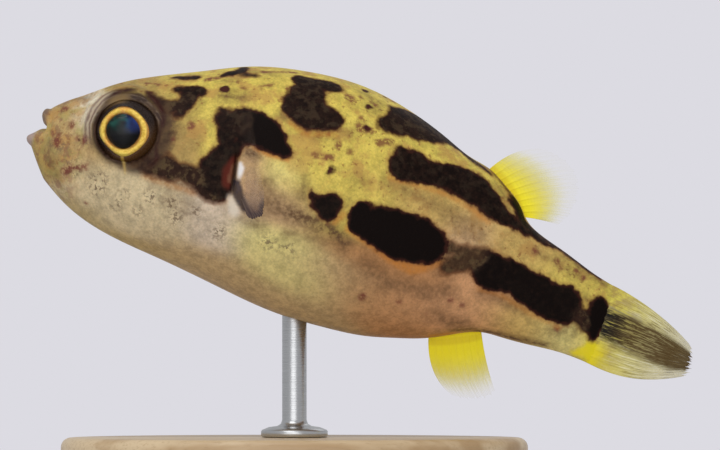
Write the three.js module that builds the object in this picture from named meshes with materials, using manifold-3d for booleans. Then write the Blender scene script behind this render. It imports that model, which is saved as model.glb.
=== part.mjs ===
// A freshwater pufferfish (dwarf or pea puffer, Carinotetraodon travancoricus), life size, held nose-up
// in a slow swimming pose on a small display stand. Millimetres, +Z up, the head towards -X and the
// fish's left side towards -Y. The origin is the middle of the stand's foot.
//
// The fish is drawn in its own frame and then pitched and lifted as one group: x runs from the front of
// the lower lip (0) to the tip of the tail fin (32), z is height above the line between those two, and
// y is 0 on the midline.
import * as THREE from "three";
import { mergeVertices } from "three/addons/utils/BufferGeometryUtils.js";
import Module from "manifold-3d";

const wasm = await Module();
wasm.setup();

// ---------------------------------------------------------------- driving dimensions

const PITCH = THREE.MathUtils.degToRad(19.5); // nose up
const LIP_HEIGHT = 16.0; // the lower lip's front above the table
const ROD_STATION = 12.75; // how far behind the lip the rod stands, under the centre of mass
const SEAM = 0.2; // the cut between two nodes

// Outline of the body without its fins: [x, height] along the back and the belly, [x, half width] along
// the flanks. Between the points each curve is a smooth cubic.
const BACK = [
  [0.4, 1.37], [1.1, 1.98], [2.0, 2.67], [3.0, 3.46], [5.0, 4.63], [6.6, 5.4], [8.2, 6.16],
  [11.0, 6.91], [13.4, 7.12], [16.0, 6.74], [17.9, 6.15], [19.2, 5.7], [20.2, 5.48], [21.2, 4.95],
  [21.9, 4.48], [22.4, 3.95], [23.0, 3.58], [24.4, 3.16], [26.3, 2.58], [27.8, 2.3],
];
const BELLY = [
  [0.4, -0.45], [1.1, -1.38], [1.7, -1.83], [2.4, -2.23], [4.3, -2.89], [7.4, -3.25],
  [10.4, -3.57], [13.4, -3.81], [15.4, -3.7], [17.4, -3.43], [18.7, -3.06], [20.0, -2.6],
  [21.1, -2.02], [22.1, -1.57], [23.1, -1.46], [24.4, -1.36], [25.8, -1.22], [27.8, -1.3],
];
const FLANK = [
  [0.4, 0.8], [1.1, 1.3], [2.4, 2.1], [4.3, 2.95], [7.4, 3.75],
  [11.0, 4.1], [14.0, 3.95], [18.0, 3.05], [22.4, 1.75], [25.0, 1.1], [27.8, 0.5],
];
const SNOUT_END = 0.4;
const TAIL_ROOT_END = 27.8;
const WIDEST_SHARE = 0.46; // height of the widest line, as a share of the depth at each station
const BODY_RINGS = 34;
const BODY_SIDES = 34;
const HEAD_CROWDING = 1.3; // above 1, the rings lie closer together on the head
const TRUNK_FULLNESS = 2.25; // exponent of each cross-section: 2 is an ellipse, more is fuller

// Cuts that part the body, at [x on the midline, lean], the lean in x per mm of height.
const LIP_CUT = [1.25, 0];
const GILL_CUT = [9.55, -0.19];
const TAIL_CUT = [23.4, 0];

// Mouth: two lips of round section meeting at the corners, and the slot between them.
const MOUTH_HEIGHT = 0.6;
const MOUTH_HALF_WIDTH = 0.86;
const MOUTH_CORNER_X = 0.92;
const UPPER_LIP = { front: 0.6, height: 1.12, radius: 0.34 };
const LOWER_LIP = { front: 0.34, height: -0.04, radius: 0.34 };
const MOUTH_SLOT = { depth: 0.72, halfHeight: 0.17 };

// Eye: a slightly flattened ball whose front carries a bulging cornea, turned a little forwards and
// down. The orbit is the fold of skin round it, which stands out as a brow above and before the eye.
const EYE = { x: 4.22, y: 2.05, z: 1.67, radius: 1.62, flatness: 0.9 };
const CORNEA = { radius: 1.3, rim: 1.14 };
const EYE_SIDES = 22;
const ORBIT = { radius: 2.1, y: 1.55, depth: 1.5 };
const GAZE_FORWARD = THREE.MathUtils.degToRad(6.5);
const GAZE_DOWN = THREE.MathUtils.degToRad(3);

// Gill opening: a narrow curved pocket just ahead of each pectoral fin.
const GILL = { x: 9.78, z: 1.45, halfHeight: 1.15, halfWidth: 0.14, depth: 0.55 };

// Fins: each is a fan through a few guide rays. A ray is a quadratic curve from its root over a knee to
// its tip, [x, z] on the midline fins and [x, outwards, z] on the pectorals, outwards from the midline.
const FIN_THICKNESS = 0.5;
const RAY_RIDGE = 0.14; // extra thickness on a ray
const ROOT_SWELL = 0.22; // extra thickness where a fin joins the body
const MARGIN_NOTCH = 0.07; // how far the margin dips between two rays, as a share of their length
const FINS = {
  dorsal_fin: {
    rays: 10,
    guides: [
      { root: [19.9, 5.1], knee: [20.75, 6.95], tip: [22.3, 7.22] },
      { root: [21.0, 4.45], knee: [22.5, 5.8], tip: [24.1, 6.35] },
      { root: [21.9, 3.85], knee: [22.95, 4.2], tip: [24.1, 4.15] },
    ],
  },
  anal_fin: {
    rays: 9,
    guides: [
      { root: [19.95, -2.2], knee: [20.4, -4.15], tip: [21.95, -4.7] },
      { root: [21.0, -1.7], knee: [21.7, -3.7], tip: [22.95, -4.5] },
      { root: [22.05, -1.2], knee: [22.85, -2.9], tip: [23.8, -3.95] },
    ],
  },
  caudal_fin: {
    rays: 11,
    guides: [
      { root: [27.3, 2.05], knee: [29.6, 2.3], tip: [31.35, 1.06] },
      { root: [27.3, 0.48], knee: [29.6, 0.42], tip: [31.62, 0.38] },
      { root: [27.3, -1.12], knee: [29.6, -1.85], tip: [31.76, -0.34] },
    ],
  },
};
const PECTORAL = {
  rays: 14,
  guides: [
    { root: [9.5, 3.3, 2.5], knee: [8.7, 4.7, 3.5], tip: [7.8, 5.3, 4.1] },
    { root: [9.6, 3.4, 2.0], knee: [9.45, 4.7, 3.4], tip: [9.2, 5.3, 4.6] },
    { root: [9.75, 3.45, 1.2], knee: [10.25, 5.2, 1.9], tip: [10.75, 6.15, 2.3] },
    { root: [9.85, 3.3, 0.5], knee: [10.5, 4.9, 0.2], tip: [11.0, 5.7, -0.3] },
  ],
};
const FIN_STEPS = 4; // facets along a ray
const STEPS_PER_RAY = 2; // facets from one ray to the next

// Stand: an oval foot, and a rod with a small flange that stands in it.
const FOOT = { halfLength: 10.5, halfWidth: 7.5, height: 2.4, edge: 0.5 };
const ROD = { radius: 0.55, socketRadius: 0.75, socketDepth: 1.4, flangeRadius: 1.5, flangeHeight: 0.5 };
const STAND_SIDES = 48;
const ROD_SIDES = 24;

// ---------------------------------------------------------------- curves and maps

// The smooth curve through [place, value] points, as a function of place.
function smooth(points) {
  const slope = (i, j) => (points[j][1] - points[i][1]) / (points[j][0] - points[i][0]);
  const last = points.length - 1;
  const tangent = (i) => {
    if (i === 0) return slope(0, 1);
    if (i === last) return slope(last - 1, last);
    return (slope(i - 1, i) + slope(i, i + 1)) / 2;
  };
  return (place) => {
    let i = 0;
    while (i < last - 1 && place > points[i + 1][0]) i += 1;
    const span = points[i + 1][0] - points[i][0];
    const t = (place - points[i][0]) / span;
    const [a, b] = [points[i][1], points[i + 1][1]];
    const [da, db] = [tangent(i) * span, tangent(i + 1) * span];
    return (2 * t ** 3 - 3 * t ** 2 + 1) * a + (t ** 3 - 2 * t ** 2 + t) * da
      + (-2 * t ** 3 + 3 * t ** 2) * b + (t ** 3 - t ** 2) * db;
  };
}

const backAt = smooth(BACK);
const bellyAt = smooth(BELLY);
const flankAt = smooth(FLANK);

// A point of the body's skin: station x, angle round the body from the right flank (0) over the back,
// share of the way out from the section's middle, and growth outwards.
function skinPoint(x, angle, share, grow) {
  const back = backAt(x);
  const belly = bellyAt(x);
  const middle = belly + WIDEST_SHARE * (back - belly);
  const round = (value) => Math.sign(value) * Math.abs(value) ** (2 / TRUNK_FULLNESS);
  const rise = Math.sin(angle) > 0 ? back - middle : middle - belly;
  return new THREE.Vector3(
    x,
    (flankAt(x) + grow) * round(Math.cos(angle)) * share,
    middle + (rise + grow) * round(Math.sin(angle)) * share,
  );
}

// Moves every vertex of a closed geometry through a map, and joins the ones that then coincide.
function mapped(geometry, map) {
  const moved = geometry.clone();
  moved.deleteAttribute("normal");
  moved.deleteAttribute("uv");
  const place = moved.getAttribute("position");
  for (let i = 0; i < place.count; i += 1) {
    const to = map(place.getX(i), place.getY(i), place.getZ(i));
    place.setXYZ(i, to.x, to.y, to.z);
  }
  return mergeVertices(moved, 1e-4);
}

function solid(geometry) {
  const clean = geometry.clone();
  clean.deleteAttribute("normal");
  clean.deleteAttribute("uv");
  const merged = mergeVertices(clean, 1e-4);
  return new wasm.Manifold(new wasm.Mesh({
    numProp: 3,
    vertProperties: merged.getAttribute("position").array,
    triVerts: new Uint32Array(merged.index.array),
  }));
}

function geometryOf(manifold) {
  const { vertProperties, triVerts } = manifold.getMesh();
  const geometry = new THREE.BufferGeometry();
  geometry.setAttribute("position", new THREE.BufferAttribute(new Float32Array(vertProperties), 3));
  geometry.setIndex(new THREE.BufferAttribute(new Uint32Array(triVerts), 1));
  geometry.computeVertexNormals();
  return geometry;
}

// ---------------------------------------------------------------- body

// The whole body as one closed loft: a cylinder whose rings are bent to the cross-sections.
function bodySolid(grow) {
  const stock = new THREE.CylinderGeometry(1, 1, 1, BODY_SIDES, BODY_RINGS);
  const length = TAIL_ROOT_END - SNOUT_END;
  return solid(mapped(stock, (x, y, z) => {
    const along = 0.5 - y;
    const station = SNOUT_END + length * along ** HEAD_CROWDING;
    const end = along < 1e-6 ? -grow : along > 1 - 1e-6 ? grow : 0;
    const point = skinPoint(station, Math.atan2(z, x), Math.hypot(x, z), grow);
    return point.setX(point.x + end);
  }));
}

// One lip: a rounded bar from corner to corner of the mouth, thinner at both ends.
function lipSolid({ front, height, radius }) {
  const stock = new THREE.CylinderGeometry(1, 1, 1, 10, 14);
  return solid(mapped(stock, (x, y, z) => {
    const turn = y * Math.PI; // -90 degrees at one corner, 90 at the other
    const taper = radius * (0.45 + 0.55 * Math.cos(turn));
    const ahead = Math.cos(turn) ** 0.8;
    return new THREE.Vector3(
      MOUTH_CORNER_X + (front - MOUTH_CORNER_X) * ahead + z * taper,
      MOUTH_HALF_WIDTH * Math.sin(turn),
      MOUTH_HEIGHT + (height - MOUTH_HEIGHT) * ahead - x * taper,
    );
  }));
}

function ellipsoid(x, y, z, rx, ry, rz) {
  return solid(new THREE.SphereGeometry(1, 20, 12).scale(rx, ry, rz).translate(x, y, z));
}

// The half of space behind (or ahead of) a leaning cut, less half the seam.
function half(cut, behind) {
  const [x, lean] = cut;
  const reach = 60;
  const box = new THREE.BoxGeometry(reach, reach, reach);
  const shift = (behind ? 1 : -1) * (reach / 2 + SEAM / 2);
  box.translate(shift, 0, 0).rotateY(Math.atan(lean)).translate(x, 0, 0);
  return solid(box);
}

function above(height, upward) {
  const reach = 60;
  const shift = height + (upward ? 1 : -1) * (reach / 2 + SEAM / 2);
  return solid(new THREE.BoxGeometry(reach, reach, reach).translate(0, 0, shift));
}

// How far the flank stands from the midline at a station and height.
function flankOut(x, z) {
  const back = backAt(x);
  const belly = bellyAt(x);
  const middle = belly + WIDEST_SHARE * (back - belly);
  const share = Math.abs(z - middle) / (z > middle ? back - middle : middle - belly);
  return flankAt(x) * (1 - share ** TRUNK_FULLNESS) ** (1 / TRUNK_FULLNESS);
}

const grownBody = bodySolid(SEAM);
let body = bodySolid(0).add(lipSolid(UPPER_LIP)).add(lipSolid(LOWER_LIP));
body = body.subtract(
  ellipsoid(0.1, 0, MOUTH_HEIGHT, MOUTH_SLOT.depth, MOUTH_HALF_WIDTH * 1.3, MOUTH_SLOT.halfHeight),
);
for (const side of [-1, 1]) {
  const socket = EYE.radius + SEAM;
  const socketDepth = EYE.radius * EYE.flatness + SEAM;
  body = body.add(ellipsoid(EYE.x, side * ORBIT.y, EYE.z, ORBIT.radius, ORBIT.depth, ORBIT.radius));
  body = body.subtract(ellipsoid(EYE.x, side * EYE.y, EYE.z, socket, socketDepth, socket));
  body = body.subtract(ellipsoid(
    GILL.x, side * flankOut(GILL.x, GILL.z), GILL.z, GILL.halfWidth, GILL.depth, GILL.halfHeight,
  ));
}

const bodyParts = {
  lip_upper: body.intersect(half(LIP_CUT, false)).intersect(above(MOUTH_HEIGHT, true)),
  lip_lower: body.intersect(half(LIP_CUT, false)).intersect(above(MOUTH_HEIGHT, false)),
  head: body.intersect(half(LIP_CUT, true)).intersect(half(GILL_CUT, false)),
  trunk: body.intersect(half(GILL_CUT, true)).intersect(half(TAIL_CUT, false)),
  tail: body.intersect(half(TAIL_CUT, true)),
};

// ---------------------------------------------------------------- fins

// A point of a fan: across 0 is its first guide ray and 1 its last, along 0 is the root and 1 the tip.
function fanPoint(guides, across, along) {
  const places = guides.map(({ root, knee, tip }) => (
    new THREE.QuadraticBezierCurve3(root, knee, tip).getPoint(along)
  ));
  return new THREE.CatmullRomCurve3(places, false, "catmullrom", 0.5).getPoint(across);
}

// 1 on a ray and 0 midway between two.
function onRay(rays, across) {
  return 0.5 + 0.5 * Math.cos(2 * Math.PI * (rays - 1) * across);
}

// A fin as one closed plate with a ridge on every ray and a dip in its margin between them.
function finSolid(rays, guides) {
  const stock = new THREE.BoxGeometry(1, 1, 1, (rays - 1) * STEPS_PER_RAY, FIN_STEPS, 1);
  const step = 0.01;
  return solid(mapped(stock, (x, y, z) => {
    const across = x + 0.5;
    const ridge = onRay(rays, across);
    const along = (y + 0.5) * (1 - MARGIN_NOTCH * (1 - ridge));
    const point = fanPoint(guides, across, along);
    const before = fanPoint(guides, Math.max(across - step, 0), along);
    const sideways = fanPoint(guides, Math.min(across + step, 1), along).sub(before);
    const outwards = fanPoint(guides, across, along + step).sub(point);
    const normal = sideways.cross(outwards).normalize();
    const thickness = FIN_THICKNESS + RAY_RIDGE * ridge + ROOT_SWELL * (1 - along);
    return point.addScaledVector(normal, z * thickness);
  }));
}

const midlineGuide = ({ root, knee, tip }) => ({
  root: new THREE.Vector3(root[0], 0, root[1]),
  knee: new THREE.Vector3(knee[0], 0, knee[1]),
  tip: new THREE.Vector3(tip[0], 0, tip[1]),
});

const finParts = {};
for (const [name, { rays, guides }] of Object.entries(FINS)) {
  finParts[name] = finSolid(rays, guides.map(midlineGuide)).subtract(grownBody);
}
for (const [name, side] of [["pectoral_fin_left", -1], ["pectoral_fin_right", 1]]) {
  const place = ([x, out, z]) => new THREE.Vector3(x, side * out, z);
  const guides = PECTORAL.guides.map(({ root, knee, tip }) => ({
    root: place(root), knee: place(knee), tip: place(tip),
  }));
  if (side > 0) guides.reverse();
  finParts[name] = finSolid(PECTORAL.rays, guides).subtract(grownBody);
}

// ---------------------------------------------------------------- eyes

// An eyeball turned on its own axis, +Y, with the cornea bulging from its front.
function eyeGeometry() {
  const rimAngle = Math.asin(CORNEA.rim / EYE.radius);
  const rimHeight = EYE.radius * Math.cos(rimAngle);
  const capAngle = Math.asin(CORNEA.rim / CORNEA.radius);
  const capCentre = rimHeight - CORNEA.radius * Math.cos(capAngle);
  const profile = [];
  const arc = (centre, radius, from, to, steps) => {
    for (let i = 0; i < steps; i += 1) {
      const angle = from + ((to - from) * i) / steps;
      profile.push(new THREE.Vector2(radius * Math.sin(angle), centre + radius * Math.cos(angle)));
    }
  };
  arc(0, EYE.radius, Math.PI, rimAngle, 8);
  arc(capCentre, CORNEA.radius, capAngle, 0, 4);
  profile.push(new THREE.Vector2(0, capCentre + CORNEA.radius));
  profile[0].x = 0;
  return new THREE.LatheGeometry(profile, EYE_SIDES).scale(1, EYE.flatness, 1);
}

// ---------------------------------------------------------------- stand

function footSolid() {
  const { halfLength, halfWidth, height, edge } = FOOT;
  const profile = [
    [0, 0], [1, 0], [1, height - edge], [1 - edge / halfLength, height - edge * 0.3],
    [1 - (edge * 1.6) / halfLength, height], [0, height],
  ];
  const disc = new THREE.LatheGeometry(profile.map(([r, z]) => new THREE.Vector2(r, z)), STAND_SIDES);
  disc.rotateX(Math.PI / 2).scale(halfLength, halfWidth, 1);
  const depth = ROD.socketDepth;
  const socket = new THREE.CylinderGeometry(ROD.socketRadius, ROD.socketRadius, 2 * depth, ROD_SIDES);
  return solid(disc).subtract(solid(socket.rotateX(Math.PI / 2).translate(0, 0, height)));
}

function rodSolid(top) {
  const bottom = FOOT.height - ROD.socketDepth + SEAM;
  const flange = FOOT.height + SEAM;
  const profile = [
    [0, bottom], [ROD.radius, bottom], [ROD.radius, flange], [ROD.flangeRadius, flange],
    [ROD.flangeRadius, flange + ROD.flangeHeight * 0.6], [ROD.flangeRadius * 0.8, flange + ROD.flangeHeight],
    [ROD.radius, flange + ROD.flangeHeight], [ROD.radius, top], [0, top],
  ];
  const turned = new THREE.LatheGeometry(profile.map(([r, z]) => new THREE.Vector2(r, z)), ROD_SIDES);
  return solid(turned.rotateX(Math.PI / 2));
}

// ---------------------------------------------------------------- assembly

const paint = (color, roughness, metalness = 0) => (
  new THREE.MeshStandardMaterial({ color, roughness, metalness })
);
const YELLOW_SKIN = paint(0xc9b45c, 0.45);
const PALE_SKIN = paint(0xb7a683, 0.45);
const FIN_MEMBRANE = paint(0xe0cf3a, 0.4);
const TAIL_MEMBRANE = paint(0xa89a4c, 0.4);
const PECTORAL_MEMBRANE = paint(0xcdb98f, 0.4);
const EYE_BALL = paint(0x2b241c, 0.15);
const FOOT_WOOD = paint(0xcdb48c, 0.5);
const ROD_STEEL = paint(0xb9bbbd, 0.3, 1);

const MATERIALS = {
  lip_upper: YELLOW_SKIN,
  lip_lower: PALE_SKIN,
  head: YELLOW_SKIN,
  trunk: YELLOW_SKIN,
  tail: YELLOW_SKIN,
  dorsal_fin: FIN_MEMBRANE,
  anal_fin: FIN_MEMBRANE,
  caudal_fin: TAIL_MEMBRANE,
  pectoral_fin_left: PECTORAL_MEMBRANE,
  pectoral_fin_right: PECTORAL_MEMBRANE,
};

function named(name, geometry, material) {
  const mesh = new THREE.Mesh(geometry, material);
  mesh.name = name;
  return mesh;
}

const fish = new THREE.Group();
fish.rotation.y = PITCH;
fish.position.set(-ROD_STATION * Math.cos(PITCH), 0, LIP_HEIGHT);
for (const [name, part] of Object.entries({ ...bodyParts, ...finParts })) {
  fish.add(named(name, geometryOf(part), MATERIALS[name]));
}
for (const [name, side] of [["eye_left", -1], ["eye_right", 1]]) {
  const eye = named(name, eyeGeometry(), EYE_BALL);
  eye.position.set(EYE.x, side * EYE.y, EYE.z);
  const gaze = new THREE.Vector3(-Math.sin(GAZE_FORWARD), side, -Math.sin(GAZE_DOWN)).normalize();
  eye.quaternion.setFromUnitVectors(new THREE.Vector3(0, 1, 0), gaze);
  fish.add(eye);
}
fish.updateMatrixWorld(true);

// The rod runs up into the belly's grown skin, which trims it to the belly's curve.
const grownInPlace = solid(geometryOf(grownBody).applyMatrix4(fish.matrixWorld));
const rod = rodSolid(LIP_HEIGHT - 6).subtract(grownInPlace);

const part = new THREE.Group();
part.add(fish);
part.add(named("stand_foot", geometryOf(footSolid()), FOOT_WOOD));
part.add(named("stand_rod", geometryOf(rod), ROD_STEEL));

export default part;
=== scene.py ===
"""Dresses a life-size freshwater pufferfish on its display stand.

The fish is drawn in millimetres in its own frame, as its solids are: x runs from the lower lip to the
tip of the tail fin, z is height above that line, and y is out from the midline, left being negative.
to_row() pitches and lifts those points into the shared frame, in metres.
"""

import math

import bmesh
import bpy
import numpy as np
from mathutils import Matrix, Vector


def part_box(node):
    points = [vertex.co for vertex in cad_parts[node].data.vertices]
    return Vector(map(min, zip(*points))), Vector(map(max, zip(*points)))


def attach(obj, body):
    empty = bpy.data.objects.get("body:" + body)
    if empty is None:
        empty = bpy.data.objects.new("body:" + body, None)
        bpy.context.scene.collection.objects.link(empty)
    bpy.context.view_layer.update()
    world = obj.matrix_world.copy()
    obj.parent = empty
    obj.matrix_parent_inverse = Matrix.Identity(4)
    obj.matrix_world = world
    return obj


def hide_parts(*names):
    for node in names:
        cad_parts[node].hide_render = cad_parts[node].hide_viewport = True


bl_info = {
    "name": "Freshwater pufferfish",
    "version": (1, 0, 0),
    "blender": (4, 5, 0),
    "location": "3D View > Sidebar > Pufferfish",
    "description": "Skin, fins, eyes, stand and studio of a life-size dwarf pufferfish",
    "category": "Object",
}

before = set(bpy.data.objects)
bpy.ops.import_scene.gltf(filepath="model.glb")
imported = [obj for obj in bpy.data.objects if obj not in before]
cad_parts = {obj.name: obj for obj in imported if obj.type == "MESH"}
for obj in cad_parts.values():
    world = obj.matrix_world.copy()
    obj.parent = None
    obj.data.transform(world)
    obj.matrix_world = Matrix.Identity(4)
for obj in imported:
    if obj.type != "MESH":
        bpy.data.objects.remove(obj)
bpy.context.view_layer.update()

# ------------------------------------------------------------------ the fish's sizes, in millimetres

METRE = 1000
PITCH = math.radians(19.5)  # nose up
LIP_HEIGHT = 16.0  # above the ground
ROD_STATION = 12.75  # the station, at the lips' own height, that lies straight above the rod

BACK = [
    (0.4, 1.37), (1.1, 1.98), (2.0, 2.67), (3.0, 3.46), (5.0, 4.63), (6.6, 5.4), (8.2, 6.16),
    (11.0, 6.91), (13.4, 7.12), (16.0, 6.74), (17.9, 6.15), (19.2, 5.7), (20.2, 5.48), (21.2, 4.95),
    (21.9, 4.48), (22.4, 3.95), (23.0, 3.58), (24.4, 3.16), (26.3, 2.58), (27.8, 2.3),
]
BELLY = [
    (0.4, -0.45), (1.1, -1.38), (1.7, -1.83), (2.4, -2.23), (4.3, -2.89), (7.4, -3.25),
    (10.4, -3.57), (13.4, -3.81), (15.4, -3.7), (17.4, -3.43), (18.7, -3.06), (20.0, -2.6),
    (21.1, -2.02), (22.1, -1.57), (23.1, -1.46), (24.4, -1.36), (25.8, -1.22), (27.8, -1.3),
]
FLANK = [
    (0.4, 0.8), (1.1, 1.3), (2.4, 2.1), (4.3, 2.95), (7.4, 3.75),
    (11.0, 4.1), (14.0, 3.95), (18.0, 3.05), (22.4, 1.75), (25.0, 1.1), (27.8, 0.5),
]
WIDEST_SHARE = 0.46  # height of the body's widest line, as a share of its depth
FULLNESS = 2.25  # of a cross-section: 2 is an ellipse, and more is squarer

# The mouth, from the throat out over the lips to the snout. Each ring has its x at the top, side and
# bottom, its middle height, and how far it reaches up, down and out from there.
MOUTH_RINGS = [
    ((1.7, 1.7, 1.7), 0.6, 0.0, 0.0, 0.0),
    ((1.3, 1.35, 1.3), 0.6, 0.05, 0.05, 0.38),
    ((0.72, 0.86, 0.66), 0.6, 0.07, 0.06, 0.66),
    ((0.45, 0.79, 0.3), 0.6, 0.26, 0.35, 0.79),
    ((0.33, 0.74, 0.03), 0.58, 0.56, 0.62, 0.87),
    ((0.42, 0.81, 0.13), 0.54, 0.86, 0.83, 0.94),
    ((0.6, 0.92, 0.33), 0.5, 0.96, 0.9, 0.96),
    ((0.8, 1.02, 0.56), 0.44, 1.24, 1.12, 1.14),
]
MOUTH_STEPS = 37
SNOUT_JOIN = 1.35  # station from which the body's own outline takes over
TAIL_THINS = (26.5, 28.0)  # stations between which the flesh thins to the fin
TAIL_THINNING = 0.93  # share of its width that it loses there
TAIL_ROOT = 27.6
TAIL_CLOSE = 0.3  # how far the flesh runs on into the tail fin
TAIL_STREAKS = 5.1  # how far the tail's streaks run back from the root of its fin

EYE = np.array([4.22, 2.05, 1.67])
EYE_RADIUS = 1.62
EYE_FLATNESS = 0.9
GAZE = Vector((-math.sin(math.radians(6.5)), 1.0, -math.sin(math.radians(3.0)))).normalized()
IRIS_TIP = Vector((0.33, 0.0, -0.94))  # where the gold ring comes to its point: straight down
ORBIT_RADIUS, ORBIT_OUT, ORBIT_DEPTH = 2.1, 1.55, 1.5
EYE_FOLDS = 36.0  # waves of the folds round the eye, in radians to the millimetre
EYE_FOLD_HEIGHT = 0.012
CORNEA_RADIUS = 1.3

GILL_LINE = [(9.16, 2.65), (9.4, 1.6), (9.68, 0.2)]  # from its top to its foot
SLIT_WIDTH = 0.075
COVER_AHEAD, COVER_WIDTH, COVER_HEIGHT = 0.24, 0.2, 0.07  # the raised edge of the gill's cover
LOBE_MIDDLE = (0.5, 1.45)  # of the pectoral fin's lobe: how far behind the slit, and its height
LOBE_REACH = (0.5, 1.35)
LOBE_HEIGHT = 0.3
NOSTRIL = (2.12, 1.95)
NOSTRIL_RIM, NOSTRIL_HOLE, NOSTRIL_HEIGHT = 0.24, 0.09, 0.13
CREASE = (2.62, 1.2)  # rearmost point of the crease between the snout and the eye
CREASE_WIDTH, CREASE_DEPTH, CREASE_BEND = 0.07, 0.035, 0.1

ROD_RADIUS = 0.55
ROD_HOLE_RADIUS, ROD_HOLE_DEPTH = 0.78, 0.4  # of the hole in the foot that the rod stands in
FOOT_CHAMFER = 0.12
SHARP_ANGLE = math.radians(50)  # past which an edge of the stand isn't smoothed

SIDES = {"left": -1, "right": 1}

# Guide rays of each fin, from root to tip.
FINS = {
    "dorsal_fin": [
        ((19.9, 0, 5.1), (20.75, 0, 6.95), (22.3, 0, 7.22)),
        ((21.0, 0, 4.45), (22.5, 0, 5.8), (24.1, 0, 6.35)),
        ((21.9, 0, 3.85), (22.95, 0, 4.2), (24.1, 0, 4.15)),
    ],
    "anal_fin": [
        ((19.95, 0, -2.2), (20.4, 0, -4.15), (21.95, 0, -4.7)),
        ((21.0, 0, -1.7), (21.7, 0, -3.7), (22.95, 0, -4.5)),
        ((22.05, 0, -1.2), (22.85, 0, -2.9), (23.8, 0, -3.95)),
    ],
    "caudal_fin": [
        ((27.1, 0, 2.42), (28.6, 0, 2.25), (30.3, 0, 1.65), (31.4, 0, 0.96)),
        ((27.1, 0, 0.58), (28.5, 0, 0.55), (30.2, 0, 0.5), (31.65, 0, 0.36)),
        ((27.1, 0, -1.25), (28.0, 0, -1.35), (29.5, 0, -1.6), (31.7, 0, -0.22)),
    ],
    "pectoral_fin": [
        ((9.5, 3.3, 2.5), (8.7, 4.7, 3.5), (7.8, 5.3, 4.1)),
        ((9.55, 3.4, 2.1), (9.35, 4.8, 3.3), (9.1, 5.4, 4.5)),
        ((9.62, 3.45, 1.7), (9.85, 5.0, 2.3), (9.95, 5.9, 2.9)),
        ((9.7, 3.45, 1.3), (10.25, 5.1, 1.1), (11.0, 6.0, 1.05)),
        ((9.72, 3.3, 0.95), (10.2, 4.9, 0.3), (11.3, 5.7, -0.85)),
    ],
}
# Each fin's number of rays, the swelling of its root, and how far its outer corners are cut back.
RAYS = {"dorsal_fin": 10, "anal_fin": 9, "caudal_fin": 11, "pectoral_fin": 14}
ROOT_SWELL = {"dorsal_fin": 0.06, "anal_fin": 0.06, "caudal_fin": 0.34, "pectoral_fin": 0.06}
CORNER_ROUNDING = {"dorsal_fin": 0.08, "anal_fin": 0.05, "caudal_fin": 0.0, "pectoral_fin": 0.3}
FACES_PER_RAY, FACES_ALONG_RAY = 14, 56
NOTCHES, RAGS = 0.025, 0.045  # how deep the margin's notches and ragged edge are, as shares of a ray
FIN_WAVE = 0.05  # how far a fin's film waves to each side

# ------------------------------------------------------------------ the fish's markings
#
# A mark is a brush stroke on the flank: (x, height, radius) at each of its points, in millimetres. The
# number before a blotch is its ink: it is a thin brown at 0.4 and an even black from about 1.2. The
# number before a smudge or a rim is its strength.

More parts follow.
